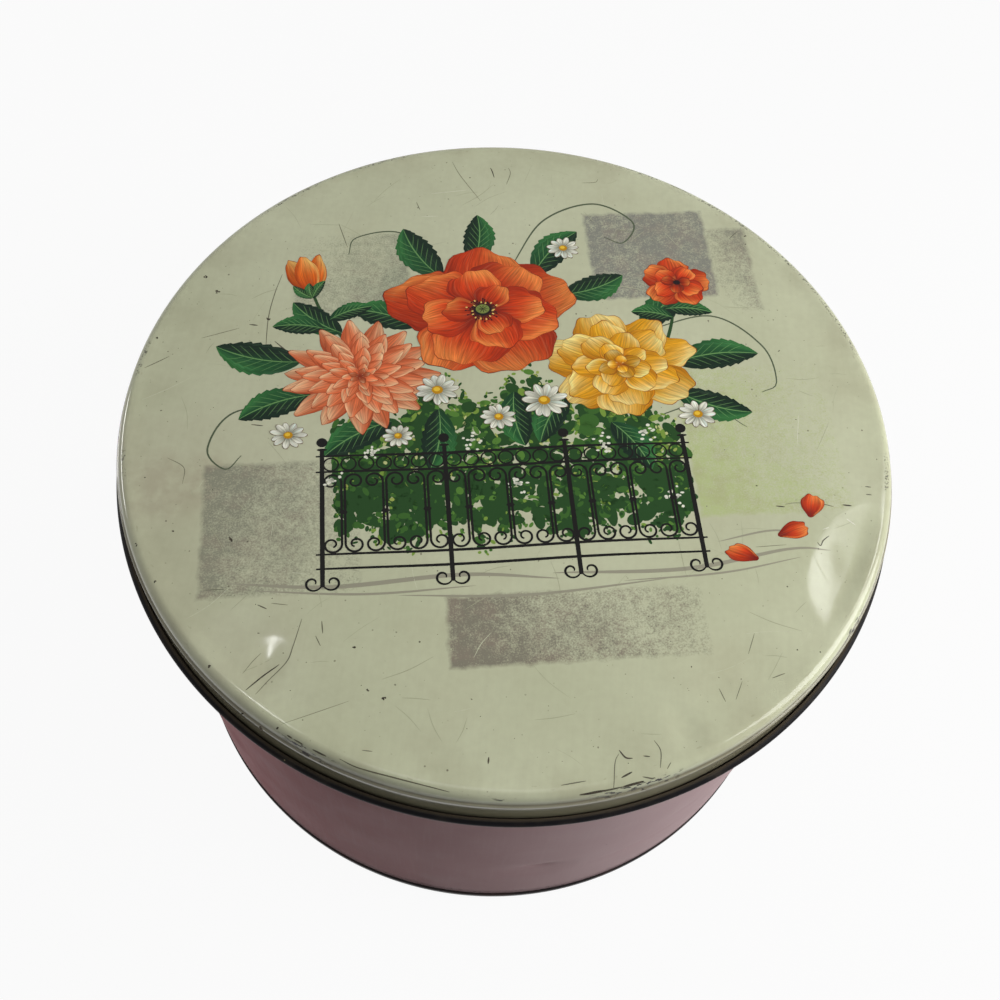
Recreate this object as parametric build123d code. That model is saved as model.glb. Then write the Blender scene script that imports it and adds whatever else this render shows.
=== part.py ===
"""Round slip-lid tin in millimetres: a body of rolled tinplate, a seamed-on bottom and a lift-off lid.

The origin is the middle of the foot, on the surface that the tin stands on. +Z points up.
Every piece is one sheet, so each ring is drawn as the sheet's middle line: runs and bends, then revolved.
"""
from build123d import *
from math import cos, radians, sin, sqrt
import os

# Sheet that all three pieces are pressed or rolled from
sheet = 0.35

# Body wall
body_radius = 126.5  # outside of the straight wall
body_height = 149.2  # floor to the top of the curl round the mouth
mouth_curl_inside = 1.325  # hollow inside the curl round the mouth
mouth_curl_turn = 290.0

# Side seam of the wall, at the back
lock_seam_width = 5.0
lock_seam_layers = 3  # folded inside the wall
lock_seam_lap = 9.0  # left unfolded at the mouth and at the foot
lock_seam_groove = 0.12  # deep, on the outside
lock_seam_groove_width = 0.8

# Foot: the double seam that holds the bottom on the wall
foot_proud = 0.4  # stands out from the straight wall
foot_height = 3.0
foot_corner_inside = 0.275
seam_gap = 0.05  # between two layers of the seam
neck_slope = 25.0  # of the wall where it draws in above the foot
neck_bend_inside = 0.9
neck_above_foot = 0.3

# Bottom
bottom_recess = 4.2  # floor to the underside of the outer ring of the bottom
bottom_corner_inside = 0.6
bottom_step_radius = 104.0
bottom_step_height = 1.2
bottom_step_slope = 40.0
bottom_step_bend_inside = 1.0

# Lid
lid_depth = 17.3  # top of the panel to the lowest point of the hem
lid_clearance = 0.35  # skirt to the curl round the mouth, all round
lid_seat_gap = 0.25  # crease of the lid to the curl round the mouth
lid_seat_bite = 0.35  # how far the crease reaches in over the curl
shoulder_inside = 3.0  # bend between the panel and the shoulder's steep side
shoulder_slope = 80.0
shoulder_drop = 4.0  # panel to the crease
crease_inside = 0.225
ledge_slope = 25.0
ledge_corner_inside = 0.275
hem_curl_inside = 1.125
hem_curl_turn = 290.0


def run(length):
    """A straight stretch of sheet."""
    return length, 0.0, 0.0


def bend(inside_radius, turn):
    """A bend by turn degrees, to the left where it is positive."""
    return 0.0, inside_radius + sheet / 2, turn


def aim(degrees):
    """Unit vector at that heading in the section, where 0 points out and 90 points up."""
    return Vector(cos(radians(degrees)), sin(radians(degrees)))


def face_line(start, heading, moves, offset):
    """One face of the sheet: its edges, first point and last point, at offset to the left of the middle."""
    at = Vector(*start) + aim(heading + 90) * offset
    first, edges = at, []
    for length, radius, turn in moves:
        if turn:
            side = 1 if turn > 0 else -1
            edges.append(JernArc(at, aim(heading), radius - side * offset, turn))
        else:
            edges.append(Line(at, at + aim(heading) * length))
        at = edges[-1] @ 1
        heading += turn
    return edges, first, at


def sheet_ring(start, heading, moves):
    """Solid of revolution of the sheet whose middle line leaves start, (radius, height), at heading."""
    left, left_first, left_last = face_line(start, heading, moves, sheet / 2)
    right, right_first, right_last = face_line(start, heading, moves, -sheet / 2)
    ends = [Line(left_last, right_last), Line(right_first, left_first)]
    section = make_face([*left, *right, *ends])
    return revolve(Plane.XZ * section, Axis.Z)


# Middle radius of each layer of the foot, from the outside in
layer = sheet + seam_gap
foot_radius = body_radius + foot_proud
outer_layer = foot_radius - sheet / 2
wall_hook = outer_layer - layer
bottom_hook = wall_hook - layer
neck_radius = bottom_hook - layer
inner_layer = neck_radius - layer
hook_fold = layer - sheet / 2  # inside of a fold with one layer in it
hook_fold_middle = hook_fold + sheet / 2
wall_fold_low = sheet + seam_gap + sheet / 2 + hook_fold_middle
bottom_fold_high = foot_height - sheet / 2 - hook_fold_middle

wall_radius = body_radius - sheet / 2
mouth_curl_middle = mouth_curl_inside + sheet / 2
mouth_curl_outside = mouth_curl_inside + sheet
mouth_curl_radius = wall_radius + mouth_curl_middle
mouth_curl_height = body_height - mouth_curl_outside


def make_body_wall():
    """Straight wall with a curl round its mouth, a drawn-in neck and a hook at the foot."""
    neck_middle = neck_bend_inside + sheet / 2
    draw_in = wall_radius - neck_radius
    slant = (draw_in - 2 * neck_middle * (1 - cos(radians(neck_slope)))) / sin(radians(neck_slope))
    neck_low = foot_height + neck_above_foot
    neck_rise = 2 * neck_middle * sin(radians(neck_slope)) + slant * cos(radians(neck_slope))
    wall = sheet_ring(
        (wall_hook, bottom_fold_high),
        -90,
        [
            run(bottom_fold_high - wall_fold_low),
            bend(hook_fold, -180),
            run(neck_low - wall_fold_low),
            bend(neck_bend_inside, -neck_slope),
            run(slant),
            bend(neck_bend_inside, neck_slope),
            run(mouth_curl_height - neck_low - neck_rise),
            bend(mouth_curl_inside, -mouth_curl_turn),
        ],
    )
    seam_low = foot_height + lock_seam_lap
    seam_high = body_height - lock_seam_lap
    place = Location((0, body_radius, (seam_low + seam_high) / 2))
    slab = place * Box(lock_seam_width, lock_seam_width * 2, seam_high - seam_low)
    fold_outside = Cylinder(wall_radius, body_height, align=(Align.CENTER, Align.CENTER, Align.MIN))
    fold_inside = Cylinder(
        body_radius - sheet * (1 + lock_seam_layers),
        body_height,
        align=(Align.CENTER, Align.CENTER, Align.MIN),
    )
    groove = place * Box(lock_seam_groove_width, lock_seam_groove * 2, seam_high - seam_low)
    return wall + ((fold_outside - fold_inside) & slab) - groove


def make_bottom():
    """Stepped disc whose edge goes down inside the wall, under it and up round its hook."""
    outer_ring = bottom_recess + sheet / 2
    corner_middle = bottom_corner_inside + sheet / 2
    foot_corner = foot_corner_inside + sheet / 2
    step_middle = bottom_step_bend_inside + sheet / 2
    step_bends = 2 * step_middle * (1 - cos(radians(bottom_step_slope)))
    slant = (bottom_step_height - step_bends) / sin(radians(bottom_step_slope))
    step_out = 2 * step_middle * sin(radians(bottom_step_slope)) + slant * cos(radians(bottom_step_slope))
    return sheet_ring(
        (0, outer_ring + bottom_step_height),
        0,
        [
            run(bottom_step_radius),
            bend(bottom_step_bend_inside, -bottom_step_slope),
            run(slant),
            bend(bottom_step_bend_inside, bottom_step_slope),
            run(inner_layer - corner_middle - bottom_step_radius - step_out),
            bend(bottom_corner_inside, -90),
            run(outer_ring - corner_middle - foot_corner - sheet / 2),
            bend(foot_corner_inside, 90),
            run(outer_layer - inner_layer - 2 * foot_corner),
            bend(foot_corner_inside, 90),
            run(bottom_fold_high - foot_corner - sheet / 2),
            bend(hook_fold, 180),
            run(bottom_fold_high - wall_fold_low),
        ],
    )


# Lid sizes that follow from the mouth that it fits over
skirt_radius = body_radius + 2 * mouth_curl_middle + lid_clearance + sheet / 2
shoulder_middle = shoulder_inside + sheet / 2
crease_middle = crease_inside + sheet / 2
ledge_corner_middle = ledge_corner_inside + sheet / 2
hem_curl_middle = hem_curl_inside + sheet / 2

crease_under = crease_inside + sheet
crease_centre_radius = mouth_curl_radius + mouth_curl_outside + crease_under - lid_seat_bite
crease_reach = mouth_curl_outside + crease_under + lid_seat_gap
crease_centre_height = mouth_curl_height + sqrt(
    crease_reach**2 - (crease_centre_radius - mouth_curl_radius) ** 2
)
crease_start_radius = crease_centre_radius - crease_middle * sin(radians(shoulder_slope))
crease_start_height = crease_centre_height - crease_middle * cos(radians(shoulder_slope))
panel_height = crease_start_height + shoulder_drop
lid_top = panel_height + sheet / 2


def make_lid():
    """Flat panel, rounded shoulder, crease, ledge, straight skirt and a hem curled outwards."""
    slope, ledge = radians(shoulder_slope), radians(ledge_slope)
    steep = (shoulder_drop - shoulder_middle * (1 - cos(slope))) / sin(slope)
    panel_radius = crease_start_radius - shoulder_middle * sin(slope) - steep * cos(slope)
    crease_end_radius = crease_centre_radius - crease_middle * sin(ledge)
    crease_end_height = crease_centre_height - crease_middle * cos(ledge)
    corner_out = ledge_corner_middle * (1 - sin(ledge))
    corner_down = ledge_corner_middle * cos(ledge)
    land = (skirt_radius - corner_out - crease_end_radius) / cos(ledge)
    skirt_high = crease_end_height - land * sin(ledge) - corner_down
    skirt_low = lid_top - lid_depth + sheet / 2 + hem_curl_middle
    return sheet_ring(
        (0, panel_height),
        0,
        [
            run(panel_radius),
            bend(shoulder_inside, -shoulder_slope),
            run(steep),
            bend(crease_inside, shoulder_slope - ledge_slope),
            run(land),
            bend(ledge_corner_inside, ledge_slope - 90),
            run(skirt_high - skirt_low),
            bend(hem_curl_inside, hem_curl_turn),
        ],
    )


pieces = {"body_wall": make_body_wall(), "bottom_end": make_bottom(), "lid": make_lid()}
os.makedirs("parts", exist_ok=True)
for name, solid in pieces.items():
    export_step(solid, f"parts/{name}.step")
    print(name, "volume", round(solid.volume), "box", solid.bounding_box())
print("lid top", round(lid_top, 3), "hem radius", round(skirt_radius + 2 * hem_curl_middle + sheet / 2, 3))
print("crease start", round(crease_start_radius, 3), round(crease_start_height, 3))
print("flat of the foot, middle radius", round((inner_layer + outer_layer) / 2, 3))
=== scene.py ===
# %% [markdown]
# A round tin with a lift-off lid, dressed for a picture.
# Three sheets of tinplate make the real thing: a rolled wall, a bottom folded onto its foot, a pressed lid.
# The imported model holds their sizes. This file adds what a camera sees: enamel, print, dents and wear.

# %% Load the frame
import bmesh
import bpy
import math
import numpy as np
from mathutils import Matrix, Vector


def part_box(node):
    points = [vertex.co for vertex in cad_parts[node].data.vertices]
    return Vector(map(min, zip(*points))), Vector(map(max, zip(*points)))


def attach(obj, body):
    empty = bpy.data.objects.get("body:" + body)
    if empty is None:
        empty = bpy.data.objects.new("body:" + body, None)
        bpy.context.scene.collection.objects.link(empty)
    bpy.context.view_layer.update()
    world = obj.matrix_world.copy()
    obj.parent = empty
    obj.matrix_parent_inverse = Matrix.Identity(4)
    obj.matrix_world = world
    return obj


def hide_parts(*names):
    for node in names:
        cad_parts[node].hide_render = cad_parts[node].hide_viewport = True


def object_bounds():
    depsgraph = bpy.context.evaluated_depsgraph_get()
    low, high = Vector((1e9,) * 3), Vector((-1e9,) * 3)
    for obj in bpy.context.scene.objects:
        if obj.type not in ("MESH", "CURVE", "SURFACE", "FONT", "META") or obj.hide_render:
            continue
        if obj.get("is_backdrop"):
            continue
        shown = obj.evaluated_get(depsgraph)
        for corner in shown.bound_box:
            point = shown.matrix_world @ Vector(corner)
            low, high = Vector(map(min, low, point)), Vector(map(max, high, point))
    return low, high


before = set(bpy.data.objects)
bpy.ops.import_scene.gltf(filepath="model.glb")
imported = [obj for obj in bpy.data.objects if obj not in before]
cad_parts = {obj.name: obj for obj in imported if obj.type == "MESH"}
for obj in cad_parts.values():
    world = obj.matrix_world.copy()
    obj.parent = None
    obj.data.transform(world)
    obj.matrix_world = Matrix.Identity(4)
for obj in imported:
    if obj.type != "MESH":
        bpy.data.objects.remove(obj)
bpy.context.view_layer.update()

MM = 0.001
lid_low, lid_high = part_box("lid")
wall_high, foot_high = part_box("body_wall")[1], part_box("bottom_end")[1]
lid_top = lid_high.z / MM

# %% [markdown]
# The photograph was taken by hand from close above, so near things look large and the sides lean in.
# A camera worked out from the rings of the lid gives that view: its eye, its direction and its lens.
# Sensor size and lens only matter as a pair. A full-frame sensor of 36 mm is the usual choice.

# %% Camera
EYE_ABOVE_LID = 312.4 * MM
EYE_IN_FRONT = 213.3 * MM
LOOK = Vector((-0.0016, 0.5003, -0.8659)).normalized()
ROLL = math.radians(5.87)
SENSOR = 36.0
LENS = 40.35

level = LOOK.cross(Vector((0, 0, 1))).normalized()
upright = level.cross(LOOK)
right = level * math.cos(ROLL) + upright * math.sin(ROLL)
up = upright * math.cos(ROLL) - level * math.sin(ROLL)
camera = bpy.data.objects.new("camera", bpy.data.cameras.new("camera"))
bpy.context.scene.collection.objects.link(camera)
camera.data.sensor_width = SENSOR
camera.data.lens = LENS
camera.data.clip_start = 0.01
turn = Matrix((right, up, -LOOK)).transposed().to_4x4()
camera.matrix_world = Matrix.Translation((0, -EYE_IN_FRONT, lid_high.z + EYE_ABOVE_LID)) @ turn
bpy.context.scene.camera = camera
bpy.context.scene.view_settings.view_transform = "Standard"
print("camera at", [round(v / MM) for v in camera.matrix_world.translation], "mm")

# %% [markdown]
# Colours are easiest to choose as the hex values that a paint chart or a picture program shows.
# Shaders work with linear light, so one function turns the first into the second.
# Another adds a shader node together with its settings and links, so a material reads like a recipe.

# %% Colour and node helpers
def linear(hex_colour):
    """Linear red, green, blue of an sRGB hex value such as #C0BFA4."""
    parts = [int(hex_colour[k:k + 2], 16) / 255 for k in (1, 3, 5)]
    return [p / 12.92 if p <= 0.04045 else ((p + 0.055) / 1.055) ** 2.4 for p in parts]


def opaque(colour):
    """Colour as colour sockets take it: a hex value turns linear, and the output of a node stays."""
    return (*linear(colour), 1) if isinstance(colour, str) else colour


def fill(tree, made, inputs):
    """Links or sets inputs of a node, each by its name or number."""
    for key, value in inputs.items():
        if isinstance(value, bpy.types.NodeSocket):
            tree.links.new(value, made.inputs[key])
        else:
            made.inputs[key].default_value = value


def node(tree, kind, settings=None, inputs=None, out=0):
    """Adds a shader node with its settings and inputs, and gives one of its outputs, or all for None."""
    made = tree.nodes.new("ShaderNode" + kind)
    for name, value in (settings or {}).items():
        setattr(made, name, value)
    fill(tree, made, inputs or {})
    return made.outputs if out is None else made.outputs[out]


def join(tree, operation, first, *others):
    """Values joined one after the other by an operation of the Math node."""
    for other in others:
        first = node(tree, "Math", {"operation": operation}, {0: first, 1: other})
    return first


def new_material(name):
    """A material with its node tree and its shader ready."""
    material = bpy.data.materials.new(name)
    material.use_nodes = True
    tree = material.node_tree
    return material, tree, tree.nodes["Principled BSDF"]


def per(millimetres):
    """Texture scale at which a pattern repeats about once in that many millimetres."""
    return 1 / (millimetres * MM)


# %% [markdown]
# A studio table for a small object is a pale floor and large soft lamps.
# The floor here is one big plane. Its material looks white to the camera and to mirror-like reflections,
# which the Light Path node tells apart, but still takes the shadow of the tin.
# That keeps the background white without more light on the tin itself.

# %% Floor
FLOOR_HALF = 12.0
FLOOR_COLOUR = "#BEBEBC"
WHITE_SHARE = 0.94

floor_mesh = bpy.data.meshes.new("floor")
corners = [(x * FLOOR_HALF, y * FLOOR_HALF, 0) for x, y in ((-1, -1), (1, -1), (1, 1), (-1, 1))]
floor_mesh.from_pydata(corners, [], [(0, 1, 2, 3)])
floor = bpy.data.objects.new("floor", floor_mesh)
bpy.context.scene.collection.objects.link(floor)
floor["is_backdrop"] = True


def seen_directly(tree):
    """1 for rays from the camera, a mirror or glass, and 0 for light that the surface only scatters on."""
    path = node(tree, "LightPath", out=None)
    kinds = (path[f"Is {kind} Ray"] for kind in ("Camera", "Glossy", "Transmission"))
    return join(tree, "MAXIMUM", *kinds)


paper, tree, shader = new_material("white_paper")
fill(tree, shader, {"Base Color": opaque(FLOOR_COLOUR), "Roughness": 0.9, "Specular IOR Level": 0.0})
glow = node(tree, "Emission", inputs={"Color": (1, 1, 1, 1), "Strength": 1.0})
share = join(tree, "MULTIPLY", seen_directly(tree), WHITE_SHARE)
mixed = node(tree, "MixShader", inputs={0: share, 1: shader.outputs[0], 2: glow})
fill(tree, tree.nodes["Material Output"], {"Surface": mixed})
floor_mesh.materials.append(paper)
print("floor", 2 * FLOOR_HALF, "m wide")

# %% [markdown]
# Light: the photograph has a large soft light low on the right, and little light from the front.
# That lamp brightens the right half of the lid and leaves the front of the wall in shade.
# A soft box above keeps the lid even, and one low on the left brings out the skirt there.
# Flat enamel seen from here mirrors only a patch of sky behind the tin, so no lamp hangs in that patch.
# The knocks tilt the enamel: on the right they mirror a white card, on the left a very small lamp.
# The world adds an even light from everywhere, so no side goes black.

# %% Lamps and world
WORLD_STRENGTH = 0.10

world = bpy.data.worlds.new("studio")
bpy.context.scene.world = world
world.use_nodes = True
tree = world.node_tree
strength = node(tree, "Mix", {"data_type": "FLOAT"}, {0: seen_directly(tree), 2: WORLD_STRENGTH, 3: 1.0})
fill(tree, tree.nodes["Background"], {"Color": (1, 1, 1, 1), "Strength": strength})


def lamp(name, turned, raised, away, wide, high, watts):
    """Soft lamp at a compass turn from +X and a height angle, in degrees, aimed at the lid's middle."""
    light = bpy.data.lights.new(name, "AREA")
    light.shape = "RECTANGLE"
    light.size = wide
    light.size_y = high
    light.energy = watts
    made = bpy.data.objects.new(name, light)
    bpy.context.scene.collection.objects.link(made)
    around, lift = math.radians(turned), math.radians(raised)
    ray = Vector((math.cos(lift) * math.cos(around), math.cos(lift) * math.sin(around), math.sin(lift)))
    made.location = Vector((0, 0, lid_high.z)) + ray * away
    made.rotation_euler = ray.to_track_quat("Z", "Y").to_euler()
    print(name, watts, "W,", wide, "x", high, "m")


lamp("window_right", turned=-6, raised=28, away=0.85, wide=0.55, high=0.62, watts=7.7)
lamp("softbox_above", turned=-90, raised=82, away=1.2, wide=0.5, high=0.5, watts=1.2)
lamp("softbox_left", turned=163, raised=14, away=1.4, wide=0.5, high=0.16, watts=4.6)
lamp("card_back_right", turned=38, raised=49, away=1.33, wide=0.26, high=0.26, watts=1.9)
lamp("small_back_left", turned=149, raised=71.5, away=1.5, wide=0.05, high=0.12, watts=0.8)

# %% [markdown]
# All three pieces are folded from one thickness of sheet, so each is drawn as a folding plan:
# straight runs and bends along the middle of the sheet, seen in section from the tin's middle outwards.
# Turning that section round the axis, as on a spinning lathe, gives the piece.
# This keeps the two faces of the sheet a true thickness apart, which a displaced plain surface wouldn't.

# %% Folding plan helpers
SHEET = 0.35
BEND_STEP = 12.0


def middle_of(inside_radius):
    """Radius of a bend along the middle of the sheet."""
    return inside_radius + SHEET / 2


def run(length):
    """A straight stretch of sheet, in mm."""
    return length, 0.0, 0.0


def bend(inside_radius, turn):
    """A bend by turn degrees, to the left where it is positive."""
    return 0.0, middle_of(inside_radius), turn


def fold(start, heading, moves, stride):
    """Section of a folded sheet as (radius, height) points in mm: the left face out, the right face back.

    Also gives the number of each edge's move: 0 or more on the left face, -1 or less on the right one.
    """
    place, turned = np.array(start, float), math.radians(heading)
    line, owners = [(place, turned)], []
    for number, (length, radius, turn) in enumerate(moves):
        steps = max(1, math.ceil(length / stride if length else abs(turn) / BEND_STEP))
        sweep = math.radians(turn) / steps
        reach = length / steps if length else 2 * radius * math.sin(abs(sweep) / 2)
        for _ in range(steps):
            middle = turned + sweep / 2
            place = place + reach * np.array((math.cos(middle), math.sin(middle)))
            turned += sweep
            line.append((place, turned))
            owners.append(number)
    sides = [np.array((-math.sin(angle), math.cos(angle))) * SHEET / 2 for _, angle in line]
    left = [point + side for (point, _), side in zip(line, sides)]
    right = [point - side for (point, _), side in zip(line, sides)]
    back = [-1 - number for number in reversed(owners)]
    return np.array(left + right[::-1]), owners + [owners[-1]] + back + [owners[0]]


# %% [markdown]
# The lathe turns a closed section into a closed mesh. Where the section starts and ends on the axis,
# a ring would shrink to a point, so one vertex and a fan of triangles stand there instead.
# Each edge of the section carries the number of its finish, so enamel, lacquer and bare metal meet crisply.

# %% Lathe
SHARP_FOLD = math.radians(40)
ON_AXIS = 1e-6


def piece(name, points, faces, slots, materials):
    """Mesh object from points in mm, its faces turned outwards and shaded smooth except at sharp folds."""
    mesh = bpy.data.meshes.new(name)
    mesh.from_pydata((np.asarray(points) * MM).tolist(), [], faces)
    mesh.polygons.foreach_set("material_index", slots)
    for material in materials:
        mesh.materials.append(material)
    shell = bmesh.new()
    shell.from_mesh(mesh)
    bmesh.ops.recalc_face_normals(shell, faces=shell.faces)
    shell.to_mesh(mesh)
    shell.free()
    mesh.shade_smooth()
    mesh.set_sharp_from_angle(angle=SHARP_FOLD)
    made = bpy.data.objects.new(name, mesh)
    bpy.context.scene.collection.objects.link(made)
    print(name, "faces", len(mesh.polygons), "size in mm", [round(v / MM, 1) for v in made.dimensions])
    return made


def turn_round(name, section, finishes, angles, materials, shift=np.asarray):
    """Closed mesh object of a section turned through the angles. A shift then moves its points."""
    count = len(angles)
    rings, points = [], []
    for radius, height in section:
        if radius < ON_AXIS:
            rings.append([len(points)] * count)
            points.append((0.0, 0.0, height))
        else:
            rings.append(list(range(len(points), len(points) + count)))
            points.extend(zip(radius * np.cos(angles), radius * np.sin(angles), [height] * count))
    faces, slots = [], []
    for k, ring in enumerate(rings):
        following = rings[(k + 1) % len(rings)]
        if ring[0] == ring[1] and following[0] == following[1]:
            continue
        for j in range(count):
            beside = (j + 1) % count
            corners = (ring[j], ring[beside], following[beside], following[j])
            faces.append(tuple(dict.fromkeys(corners)))
            slots.append(finishes[k])
    return piece(name, shift(np.array(points)), faces, slots, materials)


# %% [markdown]
# Years of use have knocked the lid. Each knock is a shallow oval pressed into the panel: a bowl or a cone
# whose rim is soft or crisp. The sheet between them isn't quite flat either, which shows as slow changes in
# its gloss. One function gives the height of the panel anywhere, so print and scratches can follow it too.

# %% Knocks in the lid
PANEL_EDGE, HELD = 126.0, 6.0
KNOCKS = [
    # middle x, middle y, half length, half width, turn in degrees, depth in mm, crispness of the rim
    (-76, -93, 17, 14, 35, 0.40, 1.2),
    (119.5, -46, 27, 20, 72, 0.95, 1.05),
    (62, -106, 16, 6, -60, 0.60, 1.4),
    (104, -48, 14, 6, 74, 0.12, 1.2),
    (70, -92, 14, 10, 20, 0.14, 2.0),
    (30, -112, 22, 8, 5, 0.12, 2.0),
    (-30, -112, 26, 7, -12, 0.12, 2.0),
    (-104, 52, 20, 9, 118, 0.14, 2.0),
    (96, 66, 22, 10, 125, 0.14, 2.0),
    (-14, 112, 20, 8, 0, 0.10, 2.0),
]
# The crispest knock has straight sides, like a cone
CONE = (-63.5, -96, 9.5, 6.5, 73, 0.72)
WAVES = [
    # wavelength in mm, direction in degrees, phase, half height in mm
    (88, 20, 0.4, 0.05),
    (61, 105, 2.1, 0.03),
    (47, 64, 4.0, 0.018),
    (133, 150, 1.2, 0.08),
]


def in_oval(x, y, middle_x, middle_y, half_long, half_wide, turned):
    """Places along and across an oval of the lid, where its rim is at a distance of 1."""
    c, s = math.cos(math.radians(turned)), math.sin(math.radians(turned))
    along = ((x - middle_x) * c + (y - middle_y) * s) / half_long
    across = ((y - middle_y) * c - (x - middle_x) * s) / half_wide
    return along, across


def panel_height(x, y):
    """Height of the lid's panel above its flat place, in mm. Near its edge the bend holds it flat."""
    rise = np.zeros(np.broadcast(x, y).shape)
    for length, direction, phase, half in WAVES:
        along = x * math.cos(math.radians(direction)) + y * math.sin(math.radians(direction))
        rise = rise + half * (np.sin(2 * math.pi * along / length + phase) - 1)
    for *knock, depth, crisp in KNOCKS:
        along, across = in_oval(x, y, *knock)
        rise = rise - depth * np.clip(1 - along ** 2 - across ** 2, 0, 1) ** crisp
    *knock, depth = CONE
    rise = rise - depth * np.clip(1 - np.hypot(*in_oval(x, y, *knock)), 0, 1)
    hold = np.clip((PANEL_EDGE + 1 - np.hypot(x, y)) / HELD, 0, 1)
    return rise * hold * hold * (3 - 2 * hold)


# %% [markdown]
# Enamel is a hard, glossy paint, baked onto the sheet. This one is cream with a little green in it.
# Seen close it is never one colour: it is mottled, browned towards the rim, freckled with specks and
# chipped where the sheet bends. Each of those is a mask that lays another colour over it.
# A mask is 0 where its colour is left out and 1 where it covers, and masks are multiplied with one another.

# %% Masks for mottled, worn surfaces
def blotches(tree, place, size, low, high, detail=4.0):
    """Soft random blotches of about that size in mm: 0 where the noise is under low, 1 over high."""
    clouds = node(tree, "TexNoise", inputs={"Vector": place, "Scale": per(size), "Detail": detail})
    return node(tree, "MapRange", inputs={"Value": clouds, "From Min": low, "From Max": high})


def coat(tree, colour, paint, *masks):
    """Colour with a paint laid over it, as thickly as the masks and plain shares say together."""
    cover = join(tree, "MULTIPLY", *masks)
    return node(tree, "Mix", {"data_type": "RGBA"}, {0: cover, 6: opaque(colour), 7: opaque(paint)}, out=2)


def ramp(tree, length, start, full):
    """Mask that grows from 0 where a length is start mm to 1 where it is full mm."""
    return node(tree, "MapRange", inputs={"Value": length, "From Min": start * MM, "From Max": full * MM})


def between(tree, length, low, high, soft):
    """1 where a length lies between low and high mm, with edges as soft as soft mm."""
    rise, fall = ramp(tree, length, low - soft, low), ramp(tree, length, high + soft, high)
    return join(tree, "MULTIPLY", rise, fall)


def from_to(tree, mask, low, high):
    """Value that goes from low to high with a mask, such as a roughness."""
    return node(tree, "MapRange", inputs={"Value": mask, "To Min": low, "To Max": high})


def stretched(tree, place, factors):
    """Place that a pattern is laid out on, stretched where a factor is small."""
    return node(tree, "VectorMath", {"operation": "MULTIPLY"}, {0: place, 1: factors})


def specks(tree, place, spacing, radius, share):
    """Round specks of that radius in mm, one to a cell of a random grid, in a share of the cells."""
    cells = node(tree, "TexVoronoi", inputs={"Vector": place, "Scale": per(spacing)}, out=None)
    reach = {"Value": cells["Distance"], "From Min": radius / spacing, "From Max": 0.5 * radius / spacing}
    drawn = node(tree, "SeparateColor", inputs={0: cells["Color"]})
    kept = join(tree, "LESS_THAN", drawn, share)
    return join(tree, "MULTIPLY", node(tree, "MapRange", inputs=reach), kept)


def near(tree, place, zones):
    """1 in the middle of each zone, given as x, y on the lid and a reach in mm, and 0 outside them."""
    masks = []
    for x, y, reach in zones:
        middle = (x * MM, y * MM, lid_high.z)
        away = node(tree, "VectorMath", {"operation": "DISTANCE"}, {0: place, 1: middle}, out="Value")
        masks.append(ramp(tree, away, reach, 0.5 * reach))
    return join(tree, "MAXIMUM", *masks)


def round_the_tin(tree, place, squeeze=1.0):
    """Distance from the axis, height, and the place unrolled: arc length times squeeze, radius, height."""
    x, y, z = node(tree, "SeparateXYZ", inputs={0: place}, out=None)
    level = node(tree, "CombineXYZ", inputs={0: x, 1: y})
    radius = node(tree, "VectorMath", {"operation": "LENGTH"}, {0: level}, out="Value")
    arc = join(tree, "MULTIPLY", join(tree, "ARCTAN2", y, x), lid_high.x * squeeze)
    return radius, z, node(tree, "CombineXYZ", inputs={0: arc, 1: radius, 2: z})


# %% [markdown]
# Baked enamel has a fine waviness, called orange peel. Its waves are a few thousandths of a millimetre high
# and only the gloss shows them, so they are a bump: shading that tilts the light and leaves the mesh alone.

# %% Bumps
def bumps(tree, shader, *layers):
    """Adds bumps to a shader, each a height mask with the distance in mm that its 0 to 1 stands for."""
    above = {}
    for height, millimetres in layers:
        inputs = {"Height": height, "Distance": millimetres * MM, "Strength": 1.0}
        above = {"Normal": node(tree, "Bump", inputs=inputs | above)}
    fill(tree, shader, above)


def orange_peel(tree, place, size=1.6):
    """The waviness of enamel as a layer for bumps."""
    return blotches(tree, place, size, 0.2, 0.8, 2.0), 0.004


# %% [markdown]
# Behind the printed flowers the lid has pale rectangles that look dabbed on with a sponge.
# One or two sides of each are fairly straight, as along a card, and the paint fades towards the others.
# A sponge leaves mottles and a fine grain: noises of three sizes are laid on a cover that falls across the
# rectangle, so the patch is nearly even where the cover is high and breaks up into specks where it is low.

# %% Sponged patches
PICTURE_TURN = 10.0
PATCHES = [
    # middle x, middle y, half width, half depth in mm, cover, its fall to the right and backwards, colour
    (58, 70, 23, 21, 0.86, 0.0, -0.08, "#828277"),
    (88, 62, 8, 20, 0.30, -0.35, -0.3, "#8A8A78"),
    (-76, -38, 25, 24, 0.54, 0.36, -0.2, "#8A8A75"),
    (-52, 64, 21, 20, 0.36, -0.4, 0.3, "#8E917A"),
    (84, -12, 26, 30, 0.40, 0.42, 0.2, "#B4BF85"),
    (14, -77, 40, 12, 0.55, 0.5, 0.1, "#817C6A"),
]
SPONGE_MARKS = [
    # size in mm, detail and roughness of the noise, and how much it adds to the cover
    (13, 3.0, 0.5, 0.9),
    (2.6, 2.0, 0.5, 1.1),
    (0.55, 3.0, 0.7, -2.6),
]
COVER_LEVEL = 0.3
EDGE_WAVE, EDGE_WAVER, EDGE_SOFT, EDGE_FULL = 4, 3.2, 2.0, 0.3


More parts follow.
